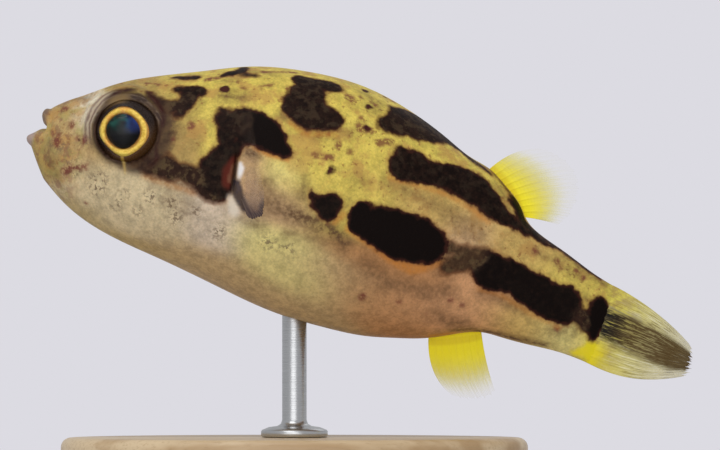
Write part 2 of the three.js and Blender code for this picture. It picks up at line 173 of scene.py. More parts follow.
BLOTCHES = {
    "shoulder": (0.8, [(8.22, 3.55, 0.48), (9.0, 3.72, 0.82), (9.25, 3.72, 0.81)]),
    "shoulder's rear": (1.35, [(9.75, 3.68, 0.8), (10.0, 3.66, 0.83), (10.6, 3.45, 0.63),
                               (11.18, 3.2, 0.38)]),
    "shoulder's corner": (0.7, [(7.9, 3.97, 0.18), (8.15, 3.9, 0.25)]),
    "gill cover": (0.85, [(8.5, 3.2, 0.48), (8.72, 2.5, 0.46), (8.62, 2.0, 0.58), (8.48, 1.4, 0.7),
                          (8.5, 0.9, 0.72), (9.08, 0.52, 0.48)]),
    "gill cover's foot": (0.6, [(8.2, 0.32, 0.22), (8.6, 0.15, 0.25), (8.95, 0.22, 0.25)]),
    "gill cover's edge": (0.9, [(9.15, 2.72, 0.28), (9.05, 2.2, 0.26)]),
    "cheek": (0.6, [(5.1, 0.6, 0.32), (5.7, 0.52, 0.42), (6.1, 0.58, 0.48), (6.5, 0.74, 0.58),
                    (7.0, 0.72, 0.4), (7.6, 0.76, 0.48), (8.3, 0.8, 0.55)]),
    "nape": (0.8, [(5.78, 4.2, 0.24), (6.3, 4.3, 0.4), (6.78, 4.45, 0.28)]),
    "nape's foot": (0.75, [(6.35, 4.15, 0.42), (6.3, 3.7, 0.43), (6.15, 3.22, 0.3)]),
    "behind the brow": (0.66, [(4.6, 3.52, 0.16), (5.1, 3.4, 0.26), (5.6, 3.3, 0.36), (6.0, 3.45, 0.36)]),
    "crown": (0.8, [(5.5, 4.68, 0.2), (5.9, 4.8, 0.24), (6.3, 4.95, 0.25)]),
    "back edge": (0.85, [(7.45, 5.45, 0.16), (7.75, 5.66, 0.27), (8.1, 5.88, 0.3), (8.2, 6.1, 0.25)]),
    "back edge's rear": (0.6, [(8.35, 5.82, 0.2), (8.8, 5.93, 0.16)]),
    "first saddle": (0.78, [(10.8, 6.42, 0.42), (11.4, 6.5, 0.44), (12.25, 6.62, 0.47)]),
    "first saddle's body": (0.78, [(11.2, 6.35, 0.55), (11.25, 5.9, 0.8), (11.5, 5.2, 0.78),
                                   (12.65, 5.2, 0.6)]),
    "first saddle's waist": (0.78, [(11.6, 6.05, 0.5), (11.7, 5.7, 0.5)]),
    "first saddle's front": (0.78, [(10.65, 5.4, 0.36), (10.8, 5.1, 0.42), (11.9, 4.85, 0.5)]),
    "second saddle": (0.75, [(15.0, 5.86, 0.46), (15.45, 6.02, 0.64), (16.2, 6.08, 0.66),
                             (17.0, 6.04, 0.55), (17.8, 6.07, 0.32), (18.6, 5.85, 0.2),
                             (20.1, 5.35, 0.12)]),
    "second saddle's ridge": (0.75, [(15.3, 6.5, 0.42), (16.5, 6.5, 0.7), (17.4, 6.3, 0.5),
                                     (18.4, 5.95, 0.3), (19.7, 5.5, 0.15)]),
    "upper flank": (0.85, [(16.36, 4.26, 0.66), (16.9, 4.42, 0.79), (17.5, 4.37, 0.56), (18.1, 4.5, 0.62),
                           (19.3, 4.56, 0.8), (19.9, 4.42, 0.84), (20.5, 4.15, 0.7), (21.0, 3.86, 0.6),
                           (21.5, 3.68, 0.42), (22.1, 3.52, 0.31), (22.9, 3.38, 0.2),
                           (23.9, 3.12, 0.12)]),
    "upper flank's front": (0.8, [(16.0, 4.95, 0.26), (16.2, 4.8, 0.4)]),
    "rear ridge": (0.75, [(22.3, 3.8, 0.3), (23.2, 3.45, 0.26), (24.3, 3.15, 0.18), (26.4, 2.6, 0.12)]),
    "dorsal base": (1.0, [(21.5, 4.45, 0.2), (21.85, 4.25, 0.3), (22.1, 4.0, 0.28), (22.3, 3.8, 0.2)]),
    "dorsal base's ridge": (1.0, [(21.6, 4.6, 0.28), (22.1, 4.15, 0.28)]),
    "dorsal root": (0.4, [(20.2, 5.45, 0.1), (20.8, 5.12, 0.13), (21.25, 4.85, 0.14)]),
    "oval": (1.3, [(15.38, 1.66, 0.6), (15.5, 1.34, 0.7), (16.3, 1.4, 0.92), (17.2, 1.33, 1.11),
                   (18.1, 1.36, 1.08), (18.6, 1.4, 0.93)]),
    "small": (0.92, [(12.85, 1.95, 0.08), (13.05, 1.65, 0.15), (13.4, 1.4, 0.33), (13.9, 1.33, 0.54)]),
    "small one's top": (0.92, [(13.5, 1.65, 0.27), (13.85, 1.62, 0.42), (14.05, 1.78, 0.4)]),
    "first link": (0.45, [(19.8, 0.8, 0.4), (20.2, 1.15, 0.45), (20.7, 1.45, 0.5), (21.1, 1.5, 0.55)]),
    "first link's top": (0.42, [(19.65, 1.6, 0.22), (20.2, 1.5, 0.4), (20.7, 1.55, 0.4)]),
    "round link": (0.95, [(21.7, 1.2, 0.89), (21.85, 1.2, 0.89)]),
    "chain": (0.95, [(22.5, 1.27, 0.73), (23.2, 1.14, 0.81), (24.0, 0.95, 0.87), (24.7, 0.85, 0.87),
                     (25.25, 0.86, 0.89)]),
    "last link": (0.6, [(25.9, 0.7, 0.4), (26.3, 0.52, 0.42), (26.7, 0.42, 0.4)]),
    "last spot": (1.2, [(26.8, 1.36, 0.46), (26.92, 1.1, 0.54), (26.98, 0.6, 0.56), (27.05, 0.14, 0.42)]),
}
SMUDGES = {  # soft patches under the blotches and between them
    "eyebrow": (0.5, [(3.0, 3.2, 0.15), (3.6, 3.38, 0.2), (4.2, 3.5, 0.16)]),
    "before the brow": (0.6, [(1.6, 2.3, 0.15), (2.1, 2.48, 0.2), (2.6, 3.0, 0.16)]),
    "behind the eye": (0.78, [(5.9, 3.0, 0.35), (6.2, 2.3, 0.3), (6.1, 1.4, 0.3)]),
    "under the eye": (0.6, [(4.9, 0.35, 0.2), (5.4, 0.8, 0.35), (6.2, 1.1, 0.3)]),
    "cheek": (0.62, [(5.6, 0.25, 0.3), (6.6, 0.2, 0.3), (7.6, 0.25, 0.3)]),
    "cheek's foot": (0.35, [(7.0, -0.6, 0.35), (7.9, -0.7, 0.5)]),
    "nape": (0.6, [(7.8, 4.58, 0.3), (8.6, 4.85, 0.32)]),
    "nape's ridge": (0.5, [(7.5, 5.3, 0.2), (8.0, 5.4, 0.22)]),
    "nape's rear": (0.5, [(6.65, 3.3, 0.22), (6.85, 4.1, 0.18)]),
    "ridge": (0.5, [(8.7, 6.05, 0.18), (9.5, 6.25, 0.15)]),
    "between the saddles": (0.45, [(13.7, 6.75, 0.28), (14.4, 6.65, 0.28), (14.2, 6.2, 0.3)]),
    "first saddle's foot": (0.8, [(10.6, 4.7, 0.2), (11.6, 4.4, 0.2), (12.3, 4.4, 0.26),
                                  (13.0, 4.62, 0.2)]),
    "mid flank": (0.4, [(13.2, 4.95, 0.25), (13.7, 4.9, 0.25)]),
    "chin": (0.35, [(1.1, -0.3, 0.4), (1.9, -1.3, 0.3)]),
    "over the fin": (0.85, [(9.4, 2.5, 0.34), (9.85, 2.55, 0.32)]),
    "before the oval": (0.5, [(14.62, 2.05, 0.15), (14.55, 1.2, 0.2)]),
    # painted shadow that the pectoral fin casts on the flank behind it
    "pectoral fin's painted shadow": (0.55, [(10.9, 1.5, 0.3), (11.2, 1.0, 0.4), (11.8, 0.7, 0.35)]),
    "breast": (0.85, [(11.6, 0.7, 0.25), (12.8, 0.65, 0.36), (14.1, 0.6, 0.35), (15.1, 0.25, 0.3)]),
    "breast's front": (0.5, [(10.6, -0.3, 0.22), (11.1, -0.3, 0.28)]),
    "breast's foot": (0.5, [(12.5, -0.25, 0.22), (13.5, 0.05, 0.3), (14.2, 0.0, 0.25)]),
    "under the oval": (0.55, [(16.2, -0.42, 0.3), (16.6, -0.55, 0.34), (17.4, -0.85, 0.33),
                              (18.4, -0.75, 0.28), (19.3, -0.7, 0.33), (20.15, -0.2, 0.28)]),
    "behind the oval": (0.7, [(19.5, 0.55, 0.25), (19.8, 0.75, 0.35), (20.4, 1.1, 0.4),
                              (21.1, 1.5, 0.4)]),
    "under the links": (0.65, [(21.6, 0.22, 0.2), (22.3, 0.25, 0.22), (23.6, 0.02, 0.2)]),
    "flank patch": (0.3, [(14.6, 3.1, 0.3), (14.9, 3.1, 0.3)]),
    "upper streak": (0.44, [(15.9, 3.3, 0.2), (16.9, 3.35, 0.2), (18.8, 3.05, 0.33), (20.4, 2.65, 0.4)]),
    "dorsal strip": (0.5, [(20.6, 4.9, 0.12), (20.9, 4.75, 0.18), (21.5, 4.25, 0.2)]),
    "small one's lead": (0.6, [(12.5, 2.4, 0.12), (12.5, 1.95, 0.22), (12.7, 1.45, 0.24)]),
    "belly streak": (1.0, [(21.0, -1.85, 0.14), (22.1, -1.5, 0.19), (23.2, -1.35, 0.18),
                           (24.3, -1.22, 0.15), (25.1, -1.12, 0.1)]),
    "over the anal fin": (0.55, [(20.1, -1.5, 0.3), (21.2, -1.5, 0.3)]),
    "peduncle's top": (0.45, [(23.3, 2.7, 0.2), (25.6, 2.3, 0.22)]),
    "peduncle's edge": (0.8, [(24.6, 3.0, 0.2), (26.6, 2.45, 0.25)]),
    "peduncle's foot": (0.5, [(25.2, -0.3, 0.3), (26.2, -0.05, 0.3)]),
    "before the last spot": (0.6, [(26.1, 1.5, 0.2)]),
}
LIME_MARKS = [[(26.45, -1.05, 0.16), (26.8, -0.9, 0.3), (27.1, -0.75, 0.42), (27.5, -0.7, 0.5)]]
RAISED_MARKS = {  # on the orbit, and on and beside the lobe that carries the pectoral fin
    "eye_streak": [[(4.48, 0.5, 0.05), (4.79, -0.14, 0.01)]],
    "red": [[(9.18, 2.05, 0.1), (9.16, 1.5, 0.26), (9.26, 1.0, 0.22)]],
    "cream": [[(9.64, 0.4, 0.08), (9.84, 0.14, 0.18), (9.97, -0.1, 0.16)]],
    # the pale base of the fin's lobe, with a painted highlight on it
    "pale_base_and_highlight": [[(9.52, 1.98, 0.06), (9.62, 1.78, 0.13), (9.66, 1.45, 0.08)]],
    # the pectoral fin's painted shadow on the skin below its lobe, in dark bluish grey
    "painted_fin_shadow": [[(9.64, 1.1, 0.18), (9.72, 0.88, 0.26), (9.92, 0.6, 0.24), (10.13, 0.36, 0.19),
              (10.36, 0.14, 0.13)]],
}
DARK_SPOTS = [  # (x, height, radius)
    (3.08, 3.2, 0.09), (3.34, 3.3, 0.13), (3.62, 3.36, 0.14), (3.92, 3.44, 0.1), (4.66, 3.56, 0.14),
    (7.71, 4.88, 0.2), (2.33, 0.59, 0.07), (14.05, 6.33, 0.16), (13.66, 6.93, 0.14), (14.6, 6.97, 0.13),
    (13.42, 3.07, 0.17), (14.28, 5.34, 0.13),
]
FAINT_SPOTS = [  # paler spots and short strokes
    [(8.5, 5.19, 0.16)], [(9.27, 5.53, 0.1), (9.76, 5.85, 0.12)], [(13.1, 6.4, 0.18), (13.3, 6.2, 0.12)],
    [(13.98, 5.68, 0.14)], [(14.0, 5.3, 0.16), (14.5, 5.3, 0.15)],
    [(15.0, 4.95, 0.15), (15.6, 5.15, 0.13)], [(13.37, 4.21, 0.13)], [(13.9, 4.07, 0.12)],
    [(12.5, 3.4, 0.1), (13.2, 3.6, 0.1)], [(6.31, 1.95, 0.1)], [(4.3, 3.97, 0.07), (4.8, 4.1, 0.08)],
    [(2.6, 0.7, 0.16)], [(1.39, 0.14, 0.24)], [(1.0, 0.5, 0.14)],
    [(2.1, -0.95, 0.13), (3.0, -0.45, 0.13)], [(9.1, 6.2, 0.08), (10.4, 6.65, 0.1)], [(9.9, 6.5, 0.12)],
    [(13.6, 6.6, 0.1)], [(14.3, 6.5, 0.1)], [(15.0, 6.9, 0.1)], [(6.8, 5.0, 0.1), (7.3, 5.3, 0.1)],
    [(10.4, 5.9, 0.1)], [(24.6, 2.4, 0.12)], [(25.3, 2.5, 0.1)], [(1.18, 1.63, 0.17), (1.3, 1.66, 0.13)],
    [(1.81, 1.07, 0.18)], [(2.25, 0.62, 0.15)], [(6.85, 2.86, 0.13)], [(3.54, -2.01, 0.05)],
    [(16.6, -1.8, 0.1)], [(18.23, -1.47, 0.06)], [(19.62, -1.55, 0.08)], [(20.4, -0.64, 0.08)],
    [(20.95, -0.68, 0.08)], [(25.36, -0.23, 0.09)], [(23.23, 2.69, 0.09)], [(24.35, 2.6, 0.13)],
    [(25.69, 2.31, 0.1)],
]
ORANGE_RIMS = [  # the glow along the lower edges of some blotches
    (0.75, [(15.0, 0.85, 0.12), (16.3, 0.5, 0.13), (17.4, 0.18, 0.2), (18.3, 0.12, 0.25),
            (18.8, 0.36, 0.2), (19.35, 0.8, 0.14)]),
    (0.6, [(20.1, -2.45, 0.14), (21.0, -2.0, 0.12)]),
    (0.8, [(9.9, 2.95, 0.12), (10.6, 2.83, 0.15), (11.4, 2.9, 0.12)]),
    (0.55, [(16.0, 3.65, 0.1), (17.2, 3.72, 0.1), (18.6, 3.78, 0.1), (20.0, 3.55, 0.12),
            (20.8, 3.25, 0.12)]),
    (0.5, [(11.0, 4.45, 0.1), (11.8, 4.2, 0.12), (13.1, 4.62, 0.1)]),
    (0.6, [(14.35, 0.95, 0.12), (14.62, 1.4, 0.12)]),
    (0.35, [(5.6, 0.0, 0.1), (6.6, 0.02, 0.1), (8.0, 0.05, 0.12)]),
    (0.4, [(21.4, 0.25, 0.1), (22.4, 0.35, 0.1), (24.0, 0.0, 0.12), (25.4, -0.15, 0.12)]),
]
SPECKLES = [  # where fine grey-brown flecks crowd together: (x, height, reach)
    (3.75, -0.75, 0.4), (3.8, -1.2, 0.4), (4.83, -1.62, 0.3), (6.25, -0.73, 0.4), (5.88, -1.55, 0.25),
    (7.24, -0.71, 0.35), (7.63, -1.29, 0.35), (8.34, -0.68, 0.3), (5.05, -1.07, 0.3), (2.7, 0.75, 0.35),
    (9.6, -1.2, 0.4), (11.9, -0.9, 0.4), (1.5, 0.1, 0.4), (2.5, -0.75, 0.5), (12.8, -0.9, 0.35),
]

# The ground colour is a blend of named soft zones: (x, height, reach along, reach up, colour's name).
ZONES = [
    (0.6, 1.0, 1.2, 1.2, "snout"),
    (2.2, 0.6, 1.6, 1.4, "snout"),
    (2.3, 1.85, 0.5, 0.7, "nasal"),
    (1.0, -1.0, 1.0, 0.6, "chin"),
    (3.0, -2.6, 1.6, 0.5, "chin"),
    (3.6, -1.3, 1.3, 0.9, "throat"),
    (6.0, -1.0, 2.2, 0.9, "throat"),
    (5.3, -2.3, 2.0, 0.5, "throat"),
    (5.5, -3.1, 2.5, 0.35, "chin"),
    (9.3, -0.8, 1.3, 0.9, "breast"),
    (9.0, -3.2, 3.0, 0.8, "belly"),
    (11.9, -0.9, 1.8, 0.6, "greenish"),
    (13.4, -1.9, 1.6, 0.7, "greenish"),
    (12.5, -3.5, 3.0, 0.9, "belly"),
    (15.0, -1.6, 2.5, 1.0, "belly"),
    (9.7, 2.1, 0.8, 1.0, "pink"),
    (10.1, 1.2, 0.8, 1.0, "pink"),
    (9.9, 2.5, 0.6, 0.4, "pink"),
    (11.3, 0.9, 1.5, 0.9, "pink"),
    (11.3, 2.2, 0.9, 0.7, "greenish"),
    (6.6, 2.2, 1.1, 0.9, "olive"),
    (7.9, 2.5, 0.3, 0.7, "yellow"),
    (4.5, 3.9, 1.6, 0.6, "olive"),
    (7.0, 4.5, 2.6, 1.4, "yellow"),
    (12.5, 3.9, 3.2, 2.2, "yellow"),
    (17.0, 5.4, 4.0, 1.0, "yellow"),
    (15.0, 3.0, 1.4, 0.8, "yellow"),
    (18.6, 3.1, 3.0, 0.7, "amber"),
    (20.3, 2.6, 1.0, 0.7, "pink"),
    (17.0, -0.2, 2.0, 0.5, "russet"),
    (17.5, -1.6, 2.0, 0.8, "russet"),
    (19.0, -1.6, 2.4, 1.0, "rosy"),
    (21.5, -0.9, 1.4, 0.8, "rosy"),
    (20.5, -2.6, 3.0, 0.5, "russet"),
    (23.0, 2.6, 2.0, 0.7, "amber"),
    (26.0, 2.3, 2.0, 0.6, "yellow"),
    (23.8, -0.8, 1.6, 0.6, "amber"),
    (25.9, -0.8, 1.2, 0.6, "greenish"),
    (27.3, -0.6, 0.9, 0.6, "yellow"),
]

# ------------------------------------------------------------------ curves, maps and meshes


def srgb(red, green, painted_fin_shadow):
    """A colour as it looks, 0 to 255, in the linear values that a material takes."""
    def linear(value):
        value = value / 255
        return value / 12.92 if value <= 0.04045 else ((value + 0.055) / 1.055) ** 2.4
    return linear(red), linear(green), linear(painted_fin_shadow)


LIME = srgb(240, 220, 34)  # the bright patch where the flesh meets the tail fin's lower edge


def spline(points):
    """The smoothest curve through (place, value) points, as a function of place."""
    x, y = np.array(points, float).T
    gap = np.diff(x)
    matrix = np.eye(len(x))
    right = np.zeros(len(x))
    for i in range(1, len(x) - 1):
        matrix[i, i - 1:i + 2] = gap[i - 1], 2 * (gap[i - 1] + gap[i]), gap[i]
        right[i] = 6 * ((y[i + 1] - y[i]) / gap[i] - (y[i] - y[i - 1]) / gap[i - 1])
    bend = np.linalg.solve(matrix, right)

    def at(place):
        i = np.clip(np.searchsorted(x, place) - 1, 0, len(gap) - 1)
        before, after = place - x[i], x[i + 1] - place
        cubic = (bend[i] * after ** 3 + bend[i + 1] * before ** 3) / (6 * gap[i])
        left = (y[i] / gap[i] - bend[i] * gap[i] / 6) * after
        return cubic + left + (y[i + 1] / gap[i] - bend[i + 1] * gap[i] / 6) * before
    return at


back_at = spline(BACK)
belly_at = spline(BELLY)
flank_at = spline(FLANK)
gill_at = spline([(z, x) for x, z in reversed(GILL_LINE)])


def ease(value, low, high):
    """0 below low and 1 above high, with a smooth step between."""
    share = np.clip((value - low) / (high - low), 0, 1)
    return share * share * (3 - 2 * share)


def hill(value, width):
    """1 at 0, falling smoothly to about 0 at twice the width."""
    return np.exp(-(value / width) ** 2)


def soft_max(a, b, blend):
    """The larger of two values, with a soft change from one to the other."""
    return (a + b + np.sqrt((a - b) ** 2 + blend * blend)) / 2


def flank_out(x, z):
    """How far the plain flank stands from the midline at a station and height."""
    x = np.clip(x, BACK[0][0], TAIL_ROOT)
    middle = belly_at(x) + WIDEST_SHARE * (back_at(x) - belly_at(x))
    reach = np.where(z > middle, back_at(x) - middle, middle - belly_at(x))
    share = np.clip(np.abs(z - middle) / reach, 0, 1)
    return flank_at(x) * (1 - share ** FULLNESS) ** (1 / FULLNESS)


def around_eye(x, z):
    """How far points are from the eye's middle in side view, and their shares rearward and upward."""
    from_eye = np.hypot(x - EYE[0], z - EYE[2])
    away = np.maximum(from_eye, 0.1)
    return from_eye, (x - EYE[0]) / away, (z - EYE[2]) / away


def behind_gill(x, z):
    """How far behind the gill's slit a point is."""
    return x - gill_at(np.clip(z, -0.5, 3.2))


def to_row(points):
    """Points of the fish in millimetres, moved to the shared frame in metres."""
    x, y, z = np.asarray(points, float).T
    cosine, sine = math.cos(PITCH), math.sin(PITCH)
    return np.stack([
        (x * cosine + z * sine - ROD_STATION * cosine) / METRE,
        y / METRE,
        (z * cosine - x * sine + LIP_HEIGHT) / METRE,
    ], axis=1)


def to_fish(points):
    """Points of the shared frame in metres, moved back to the fish's own frame in millimetres."""
    x, y, z = np.asarray(points, float).T * METRE
    cosine, sine = math.cos(PITCH), math.sin(PITCH)
    x, z = x + ROD_STATION * cosine, z - LIP_HEIGHT
    return np.stack([x * cosine - z * sine, y, x * sine + z * cosine], axis=1)


def sheet(columns, rows, place):
    """A bmesh grid whose points go through place(across, along), both from 0 to 1. Joins its seams."""
    bm = bmesh.new()
    bmesh.ops.create_grid(bm, x_segments=columns, y_segments=rows, size=0.5)
    shares = np.array([vertex.co[:2] for vertex in bm.verts]) + 0.5
    for vertex, point in zip(bm.verts, place(shares[:, 0], shares[:, 1])):
        vertex.co = point
    bmesh.ops.remove_doubles(bm, verts=bm.verts, dist=1e-6)
    bmesh.ops.recalc_face_normals(bm, faces=bm.faces)
    return bm


def finish_piece(name, bm, material, replaces=()):
    """Makes a bmesh in the shared frame a smooth-shaded piece that rides on the fish's one body."""
    mesh = bpy.data.meshes.new(name)
    bm.to_mesh(mesh)
    bm.free()
    mesh.shade_smooth()
    mesh.materials.append(material)
    piece = bpy.data.objects.new(name, mesh)
    bpy.context.scene.collection.objects.link(piece)
    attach(piece, "root")
    if replaces:
        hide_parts(*replaces)
    return piece


def points_of(mesh):
    """A mesh's points, one to a row."""
    flat = np.empty(len(mesh.vertices) * 3)
    mesh.vertices.foreach_get("co", flat)
    return flat.reshape(-1, 3)


def write_values(mesh, name, values):
    """Stores one number, or one colour, for each of a mesh's points."""
    values = np.asarray(values, float)
    if values.ndim == 1:
        mesh.attributes.new(name, "FLOAT", "POINT").data.foreach_set("value", values)
        return
    colours = np.concatenate([values, np.ones((len(values), 1))], axis=1)
    mesh.attributes.new(name, "FLOAT_COLOR", "POINT").data.foreach_set("color", colours.ravel())


# ------------------------------------------------------------------ node trees


class Tree:
    """A node tree under construction, with one short call for each kind of node."""

    def __init__(self, tree):
        self.tree = tree

    def node(self, kind, inputs=None, **settings):
        node = self.tree.nodes.new(kind)
        for name, value in settings.items():
            setattr(node, name, value)
        for key, value in (inputs or {}).items():
            self.put(node.inputs[key], value)
        return node

    def put(self, socket, value):
        if isinstance(value, bpy.types.NodeSocket):
            self.tree.links.new(value, socket)
        elif socket.type == "RGBA" and len(value) == 3:
            socket.default_value = (*value, 1.0)
        else:
            socket.default_value = value

    def math(self, operation, a, b=0.0, clamp=False):
        return self.node("ShaderNodeMath", {0: a, 1: b}, operation=operation, use_clamp=clamp).outputs[0]

    def times(self, a, b):
        return self.math("MULTIPLY", a, b)

    def plus(self, a, b, clamp=False):
        return self.math("ADD", a, b, clamp)

    def minus(self, a, b):
        return self.math("SUBTRACT", a, b)

    def mix(self, factor, a, b, blend="MIX"):
        node = self.node("ShaderNodeMix", {0: factor, 6: a, 7: b}, data_type="RGBA", blend_type=blend)
        return node.outputs[2]

    def span(self, value, low, high, start=0.0, end=1.0):
        """Maps low to high onto start to end along a smooth step."""
        inputs = {"Value": value, "From Min": low, "From Max": high, "To Min": start, "To Max": end}
        return self.node("ShaderNodeMapRange", inputs, interpolation_type="SMOOTHSTEP").outputs[0]

    def noise(self, position, scale, detail, roughness=0.5):
        inputs = {"Vector": position, "Scale": scale, "Detail": detail, "Roughness": roughness}
        return self.node("ShaderNodeTexNoise", inputs).outputs[0]

    def cells(self, position, scale):
        return self.node("ShaderNodeTexVoronoi", {"Vector": position, "Scale": scale}).outputs["Distance"]

    def attribute(self, name, colour=False):
        node = self.node("ShaderNodeAttribute", attribute_name=name)
        return node.outputs["Color" if colour else "Fac"]

    def swing(self, noise, amount):
        """A noise's swing to either side of its middle, times an amount."""
        return self.times(self.minus(noise, 0.5), amount)

    def paint(self, colour, mask, strength, over):
        """The colour with another over it, by a mask, or its attribute's name, times a strength."""
        if isinstance(mask, str):
            mask = self.attribute(mask)
        return self.mix(self.times(mask, strength), colour, over)

    def place(self, scale=(METRE, METRE, METRE)):
        """The place on the piece, in millimetres unless a scale stretches it."""
        place = self.node("ShaderNodeTexCoord").outputs["Object"]
        return self.node("ShaderNodeMapping", {"Vector": place, "Scale": scale}).outputs[0]

    def group(self, tree, inputs):
        node = self.node("ShaderNodeGroup", node_tree=tree)
        for key, value in inputs.items():
            self.put(node.inputs[key], value)
        return node.outputs

    def bump(self, height, distance, strength=1.0):
        return self.node(
            "ShaderNodeBump", {"Height": height, "Distance": distance, "Strength": strength}
        ).outputs[0]


def new_material(name):
    """A material with only a Principled BSDF, as (material, Tree, the shader node)."""
    material = bpy.data.materials.new(name)
    material.use_nodes = True
    tree = Tree(material.node_tree)
    shader = material.node_tree.nodes["Principled BSDF"]
    return material, tree, shader


def shade(tree, shader, **sockets):
    """Puts a value or a link on each named socket of a shader. An underscore stands for a space."""
    for name, value in sockets.items():
        tree.put(shader.inputs[name.replace("_", " ")], value)


def new_group(name, inputs, outputs):
    """An empty shader node group with number sockets, except for Position and Colour."""
    group = bpy.data.node_groups.new(name, "ShaderNodeTree")
    for socket, default in inputs.items():
        kind = "NodeSocketVector" if socket == "Position" else "NodeSocketFloat"
        item = group.interface.new_socket(socket, in_out="INPUT", socket_type=kind)
        if default is not None:
            item.default_value = default
    for socket in outputs:
        kind = "NodeSocketColor" if socket == "Colour" else "NodeSocketFloat"
        group.interface.new_socket(socket, in_out="OUTPUT", socket_type=kind)
    tree = Tree(group)
    return group, tree, tree.node("NodeGroupInput").outputs, tree.node("NodeGroupOutput").inputs


def skin_grain_group():
    """The soft grain of scaleless skin: its relief, its uneven tone and its pepper of dark pigment."""
    name = "Skin grain"
    if name in bpy.data.node_groups:
        return bpy.data.node_groups[name]
    group, tree, given, result = new_group(
        name, {"Position": None, "Fineness": 1.0}, ("Height", "Tone", "Pepper")
    )
    place = given["Position"]
    fine = tree.noise(place, tree.times(given["Fineness"], 9.0), 3.0, 0.6)
    broad = tree.noise(place, tree.times(given["Fineness"], 1.3), 3.0, 0.55)
    bead = tree.cells(place, tree.times(given["Fineness"], 11.0))
    tree.put(result["Height"], tree.minus(fine, tree.times(bead, 0.5)))
    tree.put(result["Tone"], tree.plus(tree.times(fine, 0.55), tree.times(broad, 0.45)))
    dots = tree.span(tree.cells(place, tree.times(given["Fineness"], 7.0)), 0.12, 0.3, 1.0, 0.0)
    crowd = tree.span(tree.noise(place, tree.times(given["Fineness"], 2.2), 2.0), 0.5, 0.62)
    tree.put(result["Pepper"], tree.times(dots, crowd))
    return group


def fin_streak(tree, across, along, count=90.0, broken=0.05):
    """A streak that runs along a fin's rays: a noise with count waves across and few along."""
    slow = tree.times(along, broken)
    place = tree.node("ShaderNodeCombineXYZ", {0: across, 1: slow}).outputs[0]
    return tree.noise(place, count, 3.0, 0.6)


def tail_colour_group(settings):
    """The tail fin's pale streaks and dark band. They begin on the flesh, just ahead of the fin."""
    name = "Tail colours"
    if name in bpy.data.node_groups:
        return bpy.data.node_groups[name]
    group, tree, given, result = new_group(
        name, {"Across": 0.5, "Along": 0.0, "Ray": 0.0}, ("Colour", "Band")
    )
    across, along = given["Across"], given["Along"]
    streak = fin_streak(tree, across, along, 46.0, 0.11)
    mottle = fin_streak(tree, across, along, 9.0, 0.9)
    wavy = tree.plus(across, tree.swing(streak, 0.2))
    upper = tree.plus(wavy, tree.times(along, 0.02))
    lower = tree.minus(wavy, tree.times(along, 0.18))
    band = tree.times(tree.span(upper, 0.21, 0.33), tree.span(lower, 0.71, 0.58))
    gaps = tree.minus(streak, tree.times(tree.span(along, 0.1, 0.35), 0.07))
    gaps = tree.plus(gaps, tree.times(tree.span(along, 0.5, 0.9), 0.1))
    band = tree.times(band, tree.span(gaps, 0.32, 0.46, 0.45, 1.0))

    colour = tree.mix(tree.span(along, 0.3, 0.95), tuple(settings.tail), srgb(224, 214, 164))
    colour = tree.paint(colour, tree.span(streak, 0.5, 0.64), 0.7, srgb(232, 226, 190))
    fine = tree.times(tree.span(streak, 0.46, 0.34), tree.span(along, 0.0, 0.4, 0.4, 0.75))
    colour = tree.mix(fine, colour, srgb(118, 100, 56))
    dark = tree.mix(tree.span(along, 0.06, 0.4), srgb(24, 20, 16), tuple(settings.band))
    dark = tree.paint(dark, tree.span(streak, 0.53, 0.68), 0.3, srgb(150, 134, 92))
    colour = tree.mix(band, colour, dark)
    edges = tree.times(tree.span(given["Ray"], 0.1, 0.35), tree.span(given["Ray"], 0.8, 0.5))
    colour = tree.paint(colour, edges, 0.4, srgb(110, 94, 58))
    root = tree.times(tree.span(along, 0.5, 0.04, 0.0, 0.85), tree.minus(1.0, band))
    rooted = tree.mix(tree.span(mottle, 0.4, 0.6), srgb(170, 144, 66), srgb(214, 198, 74))
    colour = tree.mix(root, colour, rooted)
    edge = tree.times(tree.span(across, 0.78, 0.97), tree.span(along, 0.8, 0.1, 0.0, 0.6))
    colour = tree.mix(edge, colour, srgb(214, 196, 60))
    fading = tree.plus(along, tree.swing(mottle, 0.3))
    lime = tree.times(tree.span(wavy, 0.68, 0.8), tree.span(fading, 0.26, 0.04))
    colour = tree.paint(colour, lime, 0.9, LIME)
    tree.put(result["Colour"], colour)
    tree.put(result["Band"], band)
    return group


# ------------------------------------------------------------------ what a user would change


